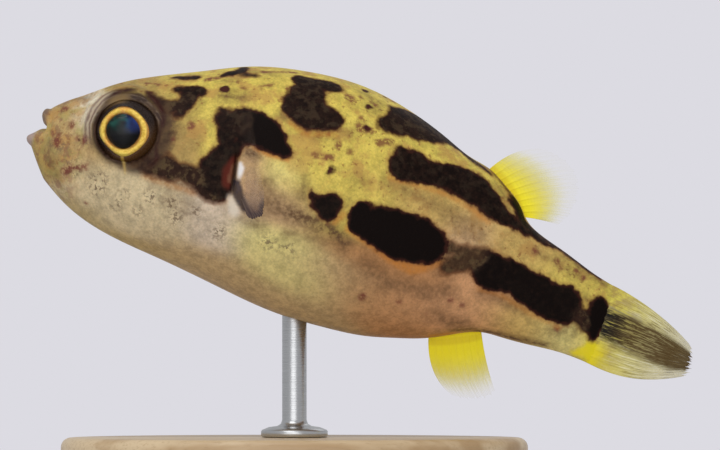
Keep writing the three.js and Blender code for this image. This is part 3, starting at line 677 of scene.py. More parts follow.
class PufferSkinSettings(bpy.types.PropertyGroup):
    """Sizes and colours of the skin"""

    columns: bpy.props.IntProperty(
        name="Columns", description="Faces round the body", default=264, min=48, max=300)
    lid_gap: bpy.props.FloatProperty(
        name="Eye opening", description="Radius of the opening that the skin leaves over each eyeball",
        default=0.00137, unit="LENGTH")
    lid_thickness: bpy.props.FloatProperty(
        name="Lid thickness", description="How far the rim of skin stands above the eyeball",
        default=0.00009, unit="LENGTH")
    gill_depth: bpy.props.FloatProperty(
        name="Gill depth", description="Depth of the slit of the gill opening",
        default=0.0003, unit="LENGTH")
    yellow: bpy.props.FloatVectorProperty(
        name="Yellow", description="Ground colour of the back", subtype="COLOR",
        default=srgb(208, 186, 87))
    olive: bpy.props.FloatVectorProperty(
        name="Olive", description="Ground colour behind the eye and the gill", subtype="COLOR",
        default=srgb(164, 136, 80))
    amber: bpy.props.FloatVectorProperty(
        name="Amber", description="Ground colour of the rear flank", subtype="COLOR",
        default=srgb(192, 160, 92))
    russet: bpy.props.FloatVectorProperty(
        name="Russet", description="Ground colour under the oval blotch", subtype="COLOR",
        default=srgb(166, 118, 74))
    throat: bpy.props.FloatVectorProperty(
        name="Throat", description="Pale ground colour of the cheek and throat", subtype="COLOR",
        default=srgb(199, 180, 141))
    belly: bpy.props.FloatVectorProperty(
        name="Belly", description="Ground colour of the underside", subtype="COLOR",
        default=srgb(179, 151, 107))
    snout: bpy.props.FloatVectorProperty(
        name="Snout", description="Ground colour of the snout", subtype="COLOR",
        default=srgb(176, 148, 98))
    nasal: bpy.props.FloatVectorProperty(
        name="Nasal", description="Pale ground colour round the nostrils", subtype="COLOR",
        default=srgb(240, 232, 208))
    chin: bpy.props.FloatVectorProperty(
        name="Chin", description="Ground colour of the chin and the edge of the throat", subtype="COLOR",
        default=srgb(168, 140, 70))
    breast: bpy.props.FloatVectorProperty(
        name="Breast", description="Pale ground colour below the gill", subtype="COLOR",
        default=srgb(198, 179, 158))
    greenish: bpy.props.FloatVectorProperty(
        name="Greenish", description="Ground colour behind the pectoral fin", subtype="COLOR",
        default=srgb(212, 198, 126))
    pink: bpy.props.FloatVectorProperty(
        name="Pink", description="Pinkish tan ground colour of the flank's lower half", subtype="COLOR",
        default=srgb(190, 154, 116))
    rosy: bpy.props.FloatVectorProperty(
        name="Rosy", description="Ground colour above the anal fin", subtype="COLOR",
        default=srgb(196, 146, 102))
    black: bpy.props.FloatVectorProperty(
        name="Black", description="Colour of the darkest blotches", subtype="COLOR",
        default=srgb(17, 10, 8))
    brown: bpy.props.FloatVectorProperty(
        name="Brown", description="Colour of the paler blotches and of the smudges", subtype="COLOR",
        default=srgb(52, 34, 26))


class PufferFinSettings(bpy.types.PropertyGroup):
    """Sizes and colours of the fins"""

    film: bpy.props.FloatProperty(
        name="Film", description="Thickness of the fin between its rays", default=0.00004, unit="LENGTH")
    ray: bpy.props.FloatProperty(
        name="Ray", description="Extra thickness of a fin at a ray", default=0.00004, unit="LENGTH")
    yellow: bpy.props.FloatVectorProperty(
        name="Yellow", description="Colour at the base of the dorsal and anal fins", subtype="COLOR",
        default=srgb(252, 236, 36))
    tail: bpy.props.FloatVectorProperty(
        name="Tail", description="Colour of the tail fin above and below its dark band",
        subtype="COLOR", default=srgb(206, 196, 126))
    band: bpy.props.FloatVectorProperty(
        name="Band", description="Colour of the tail fin's dark band", subtype="COLOR",
        default=srgb(82, 62, 26))
    pectoral: bpy.props.FloatVectorProperty(
        name="Pectoral", description="Colour of the pectoral fins", subtype="COLOR",
        default=srgb(186, 158, 136))


class PufferEyeSettings(bpy.types.PropertyGroup):
    """Sizes and colours of the eyes"""

    iris_radius: bpy.props.FloatProperty(
        name="Iris", description="Outer radius of the gold ring", default=0.00107, unit="LENGTH")
    pupil_radius: bpy.props.FloatProperty(
        name="Pupil", description="Radius of the pupil", default=0.00071, unit="LENGTH")
    gold: bpy.props.FloatVectorProperty(
        name="Gold", description="Colour of the iris", subtype="COLOR", default=srgb(182, 147, 44))
    ball: bpy.props.FloatVectorProperty(
        name="Ball", description="Colour of the eyeball round the iris", subtype="COLOR",
        default=srgb(36, 24, 19))
    pupil: bpy.props.FloatVectorProperty(
        name="Pupil", description="Colour deep in the pupil", subtype="COLOR", default=srgb(9, 9, 9))


class PufferStandSettings(bpy.types.PropertyGroup):
    """Sizes and colours of the stand"""

    edge: bpy.props.FloatProperty(
        name="Edge", description="Radius of the foot's rounded upper edge", default=0.00045, unit="LENGTH")
    wood: bpy.props.FloatVectorProperty(
        name="Wood", description="Colour of the foot's maple", subtype="COLOR",
        default=srgb(214, 190, 152))
    grain: bpy.props.FloatVectorProperty(
        name="Grain", description="Colour of the maple's darker grain", subtype="COLOR",
        default=srgb(178, 146, 104))
    steel: bpy.props.FloatVectorProperty(
        name="Steel", description="Colour of the rod", subtype="COLOR", default=srgb(196, 197, 198))


class PufferStudioSettings(bpy.types.PropertyGroup):
    """The camera, lights and backdrop"""

    focal_length: bpy.props.FloatProperty(
        name="Focal length", description="Lens length on a 36 mm sensor, in millimetres", default=600.0)
    view_width: bpy.props.FloatProperty(
        name="View width", description="Width of the picture at the fish's midline",
        default=0.03237, unit="LENGTH")
    backdrop: bpy.props.FloatVectorProperty(
        name="Backdrop", description="Colour of the floor and backdrop", subtype="COLOR",
        default=srgb(220, 219, 226))
    key: bpy.props.FloatProperty(
        name="Key light", description="Power of the main lamp", default=0.062, unit="POWER")
    fill: bpy.props.FloatProperty(
        name="Fill", description="Strength of the even light from all round", default=0.57)


# ------------------------------------------------------------------ skin


def mouth_and_body_rings(station_steps):
    """The rings of the skin from the throat to the tail, one to a row.

    A row holds x at the top, side and bottom, the middle height, the reach up, down and out, and the
    fullness.
    """
    joins = [SNOUT_JOIN, SNOUT_JOIN + 0.45, SNOUT_JOIN + 0.9]
    control = [[*xs, middle, up, down, out, 2.0] for xs, middle, up, down, out in MOUTH_RINGS]
    control += [body_ring(x) for x in joins]
    control = np.array(control)
    index = np.arange(len(control), dtype=float)
    columns = [spline(list(zip(index, control[:, i]))) for i in range(control.shape[1])]
    mouth_steps = np.linspace(0, len(MOUTH_RINGS), MOUTH_STEPS + 1)[:-1]
    mouth = np.stack([column(mouth_steps) for column in columns], axis=1)
    mouth[0] = control[0]
    body = np.array([body_ring(x) for x in station_steps])
    return np.concatenate([mouth, body])


def body_ring(x):
    """One ring of the plain body. Past the tail root it closes onto the midline."""
    station = min(x, TAIL_ROOT)
    past = np.clip((x - TAIL_ROOT) / TAIL_CLOSE, 0, 1)
    closing = math.sqrt(1 - past * past) * (1 - TAIL_THINNING * ease(x, *TAIL_THINS))
    back, belly, flank = back_at(station), belly_at(station), flank_at(station)
    middle = belly + WIDEST_SHARE * (back - belly)
    taper = 1 - 0.3 * past * past
    return [x, x, x, middle, (back - middle) * taper, (middle - belly) * taper, flank * closing, FULLNESS]


def stations():
    """Where the body's rings lie: close together on the head and at the gill, wider behind."""
    stretches = [(SNOUT_JOIN, 7.0, 0.057), (7.0, 8.8, 0.1), (8.8, 10.4, 0.058), (10.4, 26.8, 0.118),
                 (26.8, TAIL_ROOT, 0.09)]
    places = [np.arange(start, end - step / 2, step) for start, end, step in stretches]
    closing = TAIL_ROOT + TAIL_CLOSE * np.linspace(0, 1, 16)
    return np.concatenate([*places, closing])


def sculpt(points, settings):
    """Adds the orbits, gill openings, fin lobes, nostrils and creases to the plain skin."""
    x, y, z = points.T
    side = np.sign(y)
    out = np.abs(y)
    out = sculpt_orbit(x, z, out, settings)
    out = sculpt_gill(x, z, out, settings)
    from_nostril = np.hypot(x - NOSTRIL[0], z - NOSTRIL[1])
    out = out + NOSTRIL_HEIGHT * hill(from_nostril, NOSTRIL_RIM)
    out = out - NOSTRIL_HEIGHT * hill(from_nostril, NOSTRIL_HOLE)
    from_crease = x - (CREASE[0] - CREASE_BEND * (z - CREASE[1]) ** 2)
    out = out - CREASE_DEPTH * hill(from_crease, CREASE_WIDTH) * ease(z, 0.2, 0.9) * ease(-z, -2.9, -2.3)
    return np.stack([x, side * out, z], axis=1)


def sculpt_orbit(x, z, out, settings):
    """Raises the brow and wraps a rim of skin over the eyeball, then tucks the skin in behind it."""
    from_eye, rearward, upward = around_eye(x, z)
    depth = EYE_RADIUS * EYE_FLATNESS
    lid = settings.lid_thickness * METRE
    opening = settings.lid_gap * METRE

    def dome(radius, middle, height):
        share = np.clip(1 - (from_eye / radius) ** 2, 0, 1)
        return middle + height * np.sqrt(share) - 3 * np.maximum(from_eye - radius, 0)

    raised = soft_max(out, dome(ORBIT_RADIUS, ORBIT_OUT, ORBIT_DEPTH), 0.2)
    raised = soft_max(raised, dome(EYE_RADIUS + lid, EYE[1], depth + lid), 0.1)
    folds = np.sin((from_eye - opening) * EYE_FOLDS)
    before = 0.25 + 0.75 * ease(0.5 * upward - rearward, 0.4, 1.0)
    folded = ease(from_eye, opening, opening + 0.1) * ease(upward, -0.6, 0.4) * ease(-from_eye, -2.2, -1.7)
    raised = raised + EYE_FOLD_HEIGHT * folds * folded * before
    tucked = ease(opening - from_eye, -0.02, 0.1)
    result = raised * (1 - tucked) + (EYE[1] + 0.1) * tucked
    near = ease(-from_eye, -3.0, -2.5)
    return out + (result - out) * near


def sculpt_gill(x, z, out, settings):
    """Cuts the curved gill slit, lifts the edge of its cover and raises the pectoral fin's lobe."""
    behind = behind_gill(x, z)
    along = ease(z, 0.3, 0.9) * ease(-z, -2.6, -2.1)
    from_lobe = np.hypot((behind - LOBE_MIDDLE[0]) / LOBE_REACH[0], (z - LOBE_MIDDLE[1]) / LOBE_REACH[1])
    lobe = LOBE_HEIGHT * np.clip(1 - from_lobe ** 2, 0, 1) ** 0.75
    cover = COVER_HEIGHT * hill(behind + COVER_AHEAD, COVER_WIDTH) * along
    slit = settings.gill_depth * METRE * hill(behind, SLIT_WIDTH) * along
    return out + lobe + cover - slit


def skin_bmesh(settings):
    """The skin: a sheet wrapped round its rings, from the throat over the lips and back to the tail."""
    rings = mouth_and_body_rings(stations())

    def place(across, along):
        row = np.rint(along * (len(rings) - 1)).astype(int)
        top, aside, bottom, middle, up, down, out, fullness = rings[row].T
        angle = across * 2 * math.pi
        cosine, sine = np.cos(angle), np.sin(angle)

        def rounded(value):
            return np.sign(value) * np.abs(value) ** (2 / fullness)

        upward = sine > 0
        x = aside + (np.where(upward, top, bottom) - aside) * sine * sine
        y = out * rounded(cosine)
        z = middle + np.where(upward, up, down) * rounded(sine)
        return to_row(sculpt(np.stack([x, y, z], axis=1), settings))

    return sheet(settings.columns, len(rings) - 1, place)


def flank_points(stroke, side):
    """A stroke's points on one flank. The right flank's wander a little, as a real fish's marks do."""
    x, z, radius = np.array(stroke, float).T
    if side > 0:
        radius = radius * (1 + 0.12 * np.sin(3 * x))
        z = z + 0.2 * np.sin(1.3 * x + 1)
        x = np.clip(x + 0.3 * np.sin(1.9 * x), 0.8, TAIL_ROOT)
    z = np.clip(z, belly_at(x) + 0.05, back_at(x) - 0.03)
    return np.stack([x, side * flank_out(x, z), z], axis=1), radius


def inside_stroke(points, stroke, side):
    """How deep each point lies inside a stroke, in millimetres, and negative outside it."""
    path, radius = flank_points(stroke, side)
    if len(path) == 1:
        return radius[0] - np.linalg.norm(points - path[0], axis=1)
    best = np.full(len(points), -99.0)
    for start, end, start_radius, end_radius in zip(path, path[1:], radius, radius[1:]):
        way = end - start
        share = np.clip((points - start) @ way / max(way @ way, 1e-9), 0, 1)
        off = np.linalg.norm(points - start - share[:, None] * way, axis=1)
        best = np.maximum(best, start_radius + (end_radius - start_radius) * share - off)
    return best


def marks_on(points, marks, blend=0.1):
    """The smooth union of (ink, stroke) marks on both flanks, as (depth inside, ink of the nearest)."""
    total = np.zeros(len(points))
    inked = np.zeros(len(points))
    for ink, stroke in marks:
        for side in SIDES.values():
            weight = np.exp(np.clip(inside_stroke(points, stroke, side), -3, 3) / blend)
            total += weight
            inked += weight * ink
    return blend * np.log(total + 1e-20), inked / (total + 1e-20)


def blended_ground(x, z, settings):
    """The ground colour at each point: a soft blend of the named zones."""
    ground = np.zeros((len(x), 3))
    total = np.zeros((len(x), 1))
    for zone_x, zone_z, reach_x, reach_z, colour in ZONES:
        away = np.hypot((x - zone_x) / reach_x, (z - zone_z) / reach_z)
        weight = (np.exp(-away ** 2 * 1.1) + 1e-5 / (1 + away ** 4))[:, None]
        ground += weight * np.array(getattr(settings, colour))
        total += weight
    return ground / total


def write_markings(mesh, settings):
    """Works out every marking's mask at each point of the skin."""
    points = to_fish(points_of(mesh))
    x, y, z = points.T
    depth, ink = marks_on(points, BLOTCHES.values())
    write_values(mesh, "blotch", depth)
    write_values(mesh, "ink", ink)
    depth, strength = marks_on(points, ORANGE_RIMS)
    write_values(mesh, "orange", ease(depth, -0.14, 0.1) * strength)
    depth, ink = marks_on(points, SMUDGES.values(), 0.15)
    write_values(mesh, "smudge", ease(depth, -0.35, 0.3) * ink)
    write_values(mesh, "lime", marks_on(points, [(1, stroke) for stroke in LIME_MARKS])[0])
    write_values(mesh, "dark_spot", marks_on(points, [(1, [spot]) for spot in DARK_SPOTS], 0.03)[0])
    write_values(mesh, "faint_spot", marks_on(points, [(1, stroke) for stroke in FAINT_SPOTS], 0.05)[0])
    crowd = sum(hill(np.hypot(x - spot_x, z - spot_z), reach) for spot_x, spot_z, reach in SPECKLES)
    write_values(mesh, "speckle", np.clip(crowd, 0, 1))
    write_eye_masks(mesh, x, y, z)
    write_raised_masks(mesh, x, y, z)

    station = np.clip(x, BACK[0][0], TAIL_ROOT)
    height = (z - belly_at(station)) / (back_at(station) - belly_at(station))
    write_values(mesh, "across", 1 - height)
    write_values(mesh, "along", (x - FINS["caudal_fin"][0][0][0]) / TAIL_STREAKS)
    write_values(mesh, "tail_end", ease(x, 26.6, 27.35))
    write_values(mesh, "muzzle", ease(3.4 - x, 0, 1.2) * ease(2.6 - z, 0, 0.8))
    write_values(mesh, "lip_upper", ease(0.75 - x, 0, 0.3) * ease(z, 0.62, 0.8))
    write_values(mesh, "lip_lower", ease(0.45 - x, 0, 0.25) * ease(-z, -0.7, -0.55))
    within_lips = ease(0.75 - np.hypot(y, z - 0.6), 0, 0.1)
    # painted shade inside the mouth, between the lips
    write_values(mesh, "mouth", ease(x, 0.5, 0.9) * within_lips * ease(-x, -2, -1))
    write_values(mesh, "freckles", np.clip(ease(height, 0.45, 0.7) + ease(3.5 - x, 0, 1.5) * 0.8, 0, 1))
    write_values(mesh, "ground", blended_ground(x, z, settings))


def write_eye_masks(mesh, x, y, z):
    """Masks of the dark orbit and of the folds round it, each by its reach from the eye's middle."""
    from_eye, rearward, upward = around_eye(x, z)
    beside_eye = ease(np.abs(y), 0.8, 1.4)

    def ring(inner, outer, soft):
        return ease(from_eye, inner - soft, inner + soft) * ease(-from_eye, -outer - soft, -outer + soft)

    reach = 1.53 - 0.14 * ease(upward, 0.1, 0.8)
    overhead = hill(rearward, 0.16)
    socket = 1.62 + 0.42 * ease(rearward, -0.2, 0.8) + 0.22 * ease(upward, 0.3, 0.9) * (1 - overhead)
    streak = 1.45 + 0.42 * ease(upward, 0.1, 0.95) - 0.06 * ease(-rearward, 0.1, 0.5)
    streak = streak + 0.45 * ease(-upward, 0.1, 0.5)
    streaked = 0.85 * ease(upward + rearward, -0.2, 0.6) + 0.6 * ease(upward, 0.4, 0.8)
    before = ease(-rearward, 0.4, 0.8) * ease(upward, -0.7, -0.2)
    masks = {
        "orbit": ease(reach - from_eye, -0.06, 0.1),
        "socket": ease(socket - from_eye, -0.22, 0.2),
        "fold_arc": ring(1.38, 1.66 + 0.14 * overhead, 0.06) * ease(upward, 0.3, 0.7),
        "lid_light": ring(1.28, 1.68, 0.06) * ease(upward, 0.45, 0.75) * ease(-rearward, 0.1, 0.45),
        "maroon": hill(from_eye - streak, 0.13) * np.clip(streaked, 0, 1) * (1 - 0.75 * overhead),
        "pale_folds": ring(1.6, 1.95, 0.07) * before,
    }
    for name, mask in masks.items():
        write_values(mesh, name, mask * beside_eye)
    write_values(mesh, "from_eye", from_eye)


def write_raised_masks(mesh, x, y, z):
    """Masks of the gill slit's painted shade and of the marks that keep their shape over the orbit and the
    fin's lobe, a painted highlight and a painted fin shadow among them.
    """
    along = ease(z, 0.7, 1.2) * ease(-z, -2.3, -1.8)
    # painted shade along the gill slit
    write_values(mesh, "slit", hill(behind_gill(x, z), 0.09) * along)
    plain = np.stack([x, np.sign(y) * flank_out(x, z), z], axis=1)
    for name, strokes in RAISED_MARKS.items():
        depth = marks_on(plain, [(1, stroke) for stroke in strokes], 0.04)[0]
        softness = {"cream": 0.24, "red": 0.16}.get(name, 0.1)
        write_values(mesh, name + "_mark", ease(depth, -softness, 0.08))


def skin_ground(tree, place, grain):
    """The skin's ground colour with its mottling, freckles and flecks."""
    speck = tree.noise(place, 4.2, 3.0, 0.6)
    tone = tree.plus(grain["Tone"], tree.times(tree.noise(place, 2.6, 3.0, 0.65), 0.5))
    tone = tree.span(tone, 0.52, 0.98, 0.76, 1.2)
    grey = tree.node("ShaderNodeCombineColor", {0: tone, 1: tone, 2: tone}).outputs[0]
    colour = tree.mix(1.0, tree.attribute("ground", colour=True), grey, "MULTIPLY")
    freckles = tree.attribute("freckles")
    warm = tree.span(tree.noise(place, 0.9, 4.0, 0.65), 0.48, 0.64, 0.0, 0.66)
    colour = tree.paint(colour, warm, freckles, srgb(178, 134, 74))
    brown = tree.times(tree.span(speck, 0.6, 0.68), freckles)
    colour = tree.paint(colour, brown, 0.6, srgb(132, 82, 48))
    muzzle = tree.attribute("muzzle")
    mottle = tree.times(tree.span(tree.noise(place, 1.9, 3.0, 0.65), 0.5, 0.6), muzzle)
    colour = tree.paint(colour, mottle, 0.5, srgb(122, 80, 66))
    lichen = tree.times(tree.span(tree.noise(place, 1.5, 3.0, 0.6), 0.5, 0.38), muzzle)
    colour = tree.paint(colour, lichen, 0.36, srgb(162, 156, 86))
    colour = tree.paint(colour, grain["Pepper"], 0.14, srgb(112, 88, 60))
    flecks = tree.span(tree.noise(place, 5.5, 3.0, 0.65), 0.5, 0.58)
    flecks = tree.times(flecks, tree.attribute("speckle"))
    return tree.paint(colour, flecks, 0.8, srgb(108, 90, 70))


def skin_spots(tree, place, colour, jagged, jitter):
    """Lays the lime patch, smudges (the pectoral fin's painted shadow among them) and spots over the
    ground, as (colour, mask of the dark spots).
    """
    lime = tree.span(tree.plus(tree.attribute("lime"), jitter), -0.2, 0.16)
    colour = tree.paint(colour, lime, 0.9, LIME)
    smudge = tree.times(tree.attribute("smudge"), tree.span(jagged, -0.16, 0.14, 0.65, 1.15))
    colour = tree.mix(smudge, colour, srgb(92, 66, 44))
    faint = tree.span(tree.plus(tree.attribute("faint_spot"), jitter), -0.15, 0.09, 0.0, 0.82)
    broken = tree.span(tree.noise(place, 5.5, 2.0, 0.6), 0.36, 0.52, 0.4, 1.0)
    colour = tree.paint(colour, faint, broken, srgb(112, 54, 46))
    dark = tree.span(tree.plus(tree.attribute("dark_spot"), jitter), -0.1, 0.05, 0.0, 0.98)
    return tree.mix(dark, colour, srgb(60, 24, 27)), dark


def skin_blotches(tree, place, colour, jagged, jitter, settings):
    """Lays the blotches and the glow at their rims over the colour, as (colour, blotches' mask)."""
    speck = tree.noise(place, 4.2, 3.0, 0.6)
    edge = tree.plus(tree.attribute("blotch"), jitter)
    ink = tree.attribute("ink")
    colour = tree.paint(colour, "orange", tree.span(speck, 0.3, 0.55, 0.6, 1.0), srgb(192, 122, 48))
    colour = tree.mix(tree.span(edge, -0.17, 0.0, 0.0, 0.4), colour, srgb(140, 88, 48))
    deep = tree.plus(ink, tree.swing(speck, 0.6))
    inside = tree.mix(tree.span(deep, 0.45, 1.0), tuple(settings.brown), tuple(settings.black))
    patches = tree.span(tree.noise(place, 2.4, 3.0, 0.6), 0.46, 0.62)
    lighter = tree.mix(tree.span(ink, 0.85, 0.6), srgb(74, 60, 46), srgb(98, 80, 54))
    inside = tree.paint(inside, patches, tree.span(ink, 1.0, 0.6, 0.0, 0.6), lighter)
    inside = tree.mix(tree.span(ink, 0.58, 0.4, 0.0, 0.4), inside, srgb(84, 64, 42))
    inside = tree.mix(tree.span(edge, 0.0, 0.2), srgb(62, 32, 24), inside)
    solid = tree.span(tree.plus(ink, tree.times(jagged, 0.7)), 0.1, 0.55, 0.75, 1.0)
    soft = tree.span(ink, 0.95, 0.4, 0.06, 0.22)
    cover = tree.span(edge, tree.times(soft, -1.0), soft)
    cover = tree.times(cover, solid)
    return tree.mix(cover, colour, inside), cover


def skin_orbit(tree, place, colour, wander):
    """Lays the dark orbit and the folds round it over the colour, as (colour, height of the folds)."""
    ring = tree.plus(tree.attribute("from_eye"), tree.times(wander, 0.2))
    ring = tree.math("SINE", tree.times(ring, EYE_FOLDS))
    broken = tree.span(tree.noise(place, 2.5, 2.0), 0.4, 0.62)
    rings = tree.times(tree.span(ring, -0.3, 1.0), broken)
    patchy = tree.span(tree.noise(place, 2.2, 3.0, 0.6), 0.36, 0.58, 0.75, 1.0)
    socket = tree.mix(tree.span(wander, -0.1, 0.12), srgb(50, 34, 27), srgb(78, 58, 41))
    colour = tree.paint(colour, "socket", 0.88, socket)
    folds = tree.mix(tree.span(ring, -0.7, 0.9), srgb(120, 100, 90), srgb(178, 162, 140))
    colour = tree.paint(colour, "pale_folds", 0.8, folds)
    arc_colour = tree.mix(tree.span(wander, -0.06, 0.08), srgb(56, 40, 35), srgb(80, 62, 50))
    arc_colour = tree.paint(arc_colour, rings, 0.5, srgb(126, 106, 88))
    colour = tree.paint(colour, "fold_arc", 0.9, arc_colour)
    colour = tree.paint(colour, "lid_light", 0.7, srgb(134, 108, 66))
    maroon = tree.paint(srgb(50, 22, 19), rings, 0.35, srgb(86, 56, 48))
    colour = tree.paint(colour, "maroon", patchy, maroon)
    dark_orbit = tree.paint(srgb(50, 31, 21), rings, 0.3, srgb(92, 70, 52))
    colour = tree.mix(tree.attribute("orbit"), colour, dark_orbit)
    creases = tree.plus(tree.attribute("orbit"), tree.attribute("pale_folds"), clamp=True)
    return colour, tree.times(tree.times(ring, creases), 0.5)


def skin_material(settings, fin_settings):
    """Wet scaleless skin, from its ground to the marks round the eye, mouth and gill, with painted shade
    in the mouth and gill slit, a painted highlight by the gill and the pectoral fin's painted shadow.
    """
    material, tree, shader = new_material("pufferfish_skin")
    place = tree.place()
    grain = tree.group(skin_grain_group(), {"Position": place, "Fineness": 1.0})
    colour = skin_ground(tree, place, grain)
    tail = tree.group(tail_colour_group(fin_settings), {
        "Across": tree.attribute("across"), "Along": tree.attribute("along")})
    colour = tree.mix(tree.attribute("tail_end"), colour, tail["Colour"])
    wander = tree.minus(tree.noise(place, 1.9, 2.0, 0.55), 0.5)
    jagged = tree.minus(tree.noise(place, 4.2, 2.0, 0.55), 0.5)
    jitter = tree.plus(tree.times(wander, 0.42), tree.times(jagged, 0.06))
    colour, spots = skin_spots(tree, place, colour, jagged, jitter)
    colour, blotches = skin_blotches(tree, place, colour, jagged, jitter, settings)
    colour, creases = skin_orbit(tree, place, colour, wander)
    # colour of the pectoral fin's painted shadow, a dark bluish grey
    painted_fin_shadow = tree.mix(tree.span(wander, -0.05, 0.08), srgb(30, 30, 50), srgb(46, 38, 44))
    for mask, strength, over in (
        ("eye_streak_mark", 0.7, srgb(208, 174, 96)),
        ("lip_upper", 0.7, srgb(110, 92, 84)),
        ("lip_lower", 0.7, srgb(166, 148, 150)),
        # painted shade inside the mouth
        ("mouth", 0.85, srgb(70, 44, 40)),
        ("cream_mark", 0.65, srgb(224, 214, 196)),
        ("red_mark", 0.85, srgb(90, 38, 28)),
        # painted shade in the gill slit
        ("slit", 0.85, srgb(34, 20, 18)),
        # pale fin base with a painted highlight
        ("pale_base_and_highlight_mark", 0.9, srgb(230, 228, 226)),
        # the pectoral fin's painted shadow on the skin
        ("painted_fin_shadow_mark", 0.88, painted_fin_shadow),
    ):
        colour = tree.paint(colour, mask, strength, over)
    shade(tree, shader,
          Base_Color=colour,
          Roughness=tree.span(grain["Height"], 0.1, 0.7, 0.52, 0.4),
          Normal=tree.bump(tree.plus(grain["Height"], creases), 0.00002, 0.55),
          Subsurface_Weight=0.1,
          Subsurface_Radius=(0.0005, 0.0003, 0.00015),
          Subsurface_Scale=1.0,
          Specular_IOR_Level=tree.span(tree.math("MAXIMUM", blotches, spots), 0.0, 1.0, 0.1, 0.04))
    return material


class PUFFER_OT_skin(bpy.types.Operator):
    """Makes the one skin that covers the lips, head, trunk and tail, with its markings"""

    bl_idname = "puffer.skin"
    bl_label = "Skin"

    def execute(self, context):
        settings = context.scene.puffer_skin
        piece = finish_piece(
            "skin", skin_bmesh(settings), skin_material(settings, context.scene.puffer_fins),
            ("lip_upper", "lip_lower", "head", "trunk", "tail"),
        )
        write_markings(piece.data, settings)
        return {"FINISHED"}


# ------------------------------------------------------------------ fins


def fan(guides, across, along):
    """Points of a fan at shares across it and along its rays, each guide ray being a Bezier curve."""
    places = np.linspace(0, 1, len(guides))
    point = np.zeros((len(across), 3))
    t = along[:, None]
    for i, guide in enumerate(guides):
        weight = np.ones(len(across))
        for j in range(len(guides)):
            if j != i:
                weight *= (across - places[j]) / (places[i] - places[j])
        last = len(guide) - 1
        for k, control in enumerate(guide):
            pull = math.comb(last, k) * (1 - t) ** (last - k) * t ** k
            point += weight[:, None] * pull * np.array(control, float)
    return point


def ray_height(count, across, along):
    """1 on a fin ray and 0 between rays. Each ray forks twice on its way out."""
    off = across * (count - 1)
    off = off - np.rint(off)
    fork = 0.25 * ease(along, 0.3, 1.0)
    twig = 0.12 * ease(along, 0.62, 1.0)
    width = 0.15 - 0.09 * ease(along, 0.0, 0.9)
    branches = [fork + twig, fork - twig, -fork + twig, -fork - twig]
    return np.max([hill(off - branch, width) for branch in branches], axis=0)


def film_bmesh(columns, rows):
    """A closed slab one unit long, wide and thick, with a grid on its two faces."""
    bm = bmesh.new()
    bmesh.ops.create_grid(bm, x_segments=columns, y_segments=rows, size=0.5)
    film = bmesh.ops.extrude_face_region(bm, geom=list(bm.faces))
    upper = [part for part in film["geom"] if isinstance(part, bmesh.types.BMVert)]
    bmesh.ops.translate(bm, verts=upper, vec=(0, 0, 1))
    return bm


def fin_bmesh(name, settings, side):
    """A fin as one closed film, thicker on its rays, with a slightly ragged margin."""
    guides, count = FINS[name], RAYS[name]
    bm = film_bmesh((count - 1) * FACES_PER_RAY, FACES_ALONG_RAY)
    shares = np.array([vertex.co[:] for vertex in bm.verts])
    across, along, face = shares[:, 0] + 0.5, shares[:, 1] + 0.5, shares[:, 2] * 2 - 1
    tips = ray_height(count, across, np.ones(len(across)))
    ragged = 0.5 + 0.25 * np.sin(47 * across + 1) + 0.25 * np.sin(83 * across)
    corner = CORNER_ROUNDING[name] * np.abs(2 * across - 1) ** 6
    reach = along * (1 - corner - NOTCHES * (1 - tips) - RAGS * ragged * ease(along, 0.5, 1))
    step = 0.004
    point = fan(guides, across, reach)
    sideways = fan(guides, across + step, reach) - fan(guides, across - step, reach)
    outwards = fan(guides, across, reach + step) - fan(guides, across, reach - step)
    normal = np.cross(sideways, outwards)
    normal /= np.linalg.norm(normal, axis=1, keepdims=True)
    ridge = ray_height(count, across, along)
    thinning = 1 - 0.75 * ease(along, 0.1, 1.0)
    rounded = (1 - np.abs(2 * across - 1) ** FULLNESS) ** (1 / FULLNESS)
    swell = ROOT_SWELL[name] * rounded * (1 - ease(along, -0.05, 0.42))
    half = (settings.film + settings.ray * ridge * thinning) * METRE / 2 + swell
    wave = FIN_WAVE * np.sin(along * 4.0) * np.sin(across * 7.0 + 0.6) * ease(along, 0.1, 0.6)
    point = point + normal * (face * half + wave)[:, None]
    point[:, 1] *= side
    for vertex, place in zip(bm.verts, to_row(point)):
        vertex.co = place
    bmesh.ops.recalc_face_normals(bm, faces=bm.faces)
    return bm, {"across": across, "along": along, "ray": ridge}


def make_fin(piece_name, name, node, settings, material, side=1):
    """Makes one fin a piece in its node's place, with the shares and rays that its material reads."""
    bm, values = fin_bmesh(name, settings, side)
    piece = finish_piece(piece_name, bm, material, (node,))
    for key, numbers in values.items():
        write_values(piece.data, key, numbers)


def fin_lines(tree):
    """The fin's shares across and along, its rays, a fine streak, and the relief of its jointed rays."""
    across, along, ray = (tree.attribute(name) for name in ("across", "along", "ray"))
    streak = fin_streak(tree, across, along)
    joints = tree.math("SINE", tree.times(along, 150.0))
    return across, along, ray, streak, tree.plus(streak, tree.times(joints, 0.2))


def shade_film(tree, shader, colour, alpha, streak, normal, smoothest=0.42):
    """Sets a fin's shader, with the sheen that every fin has."""
    shade(tree, shader,
          Base_Color=colour,
          Alpha=alpha,
          Roughness=tree.span(streak, 0.3, 0.7, smoothest, 0.55),
          Normal=normal,
          Specular_IOR_Level=0.15)


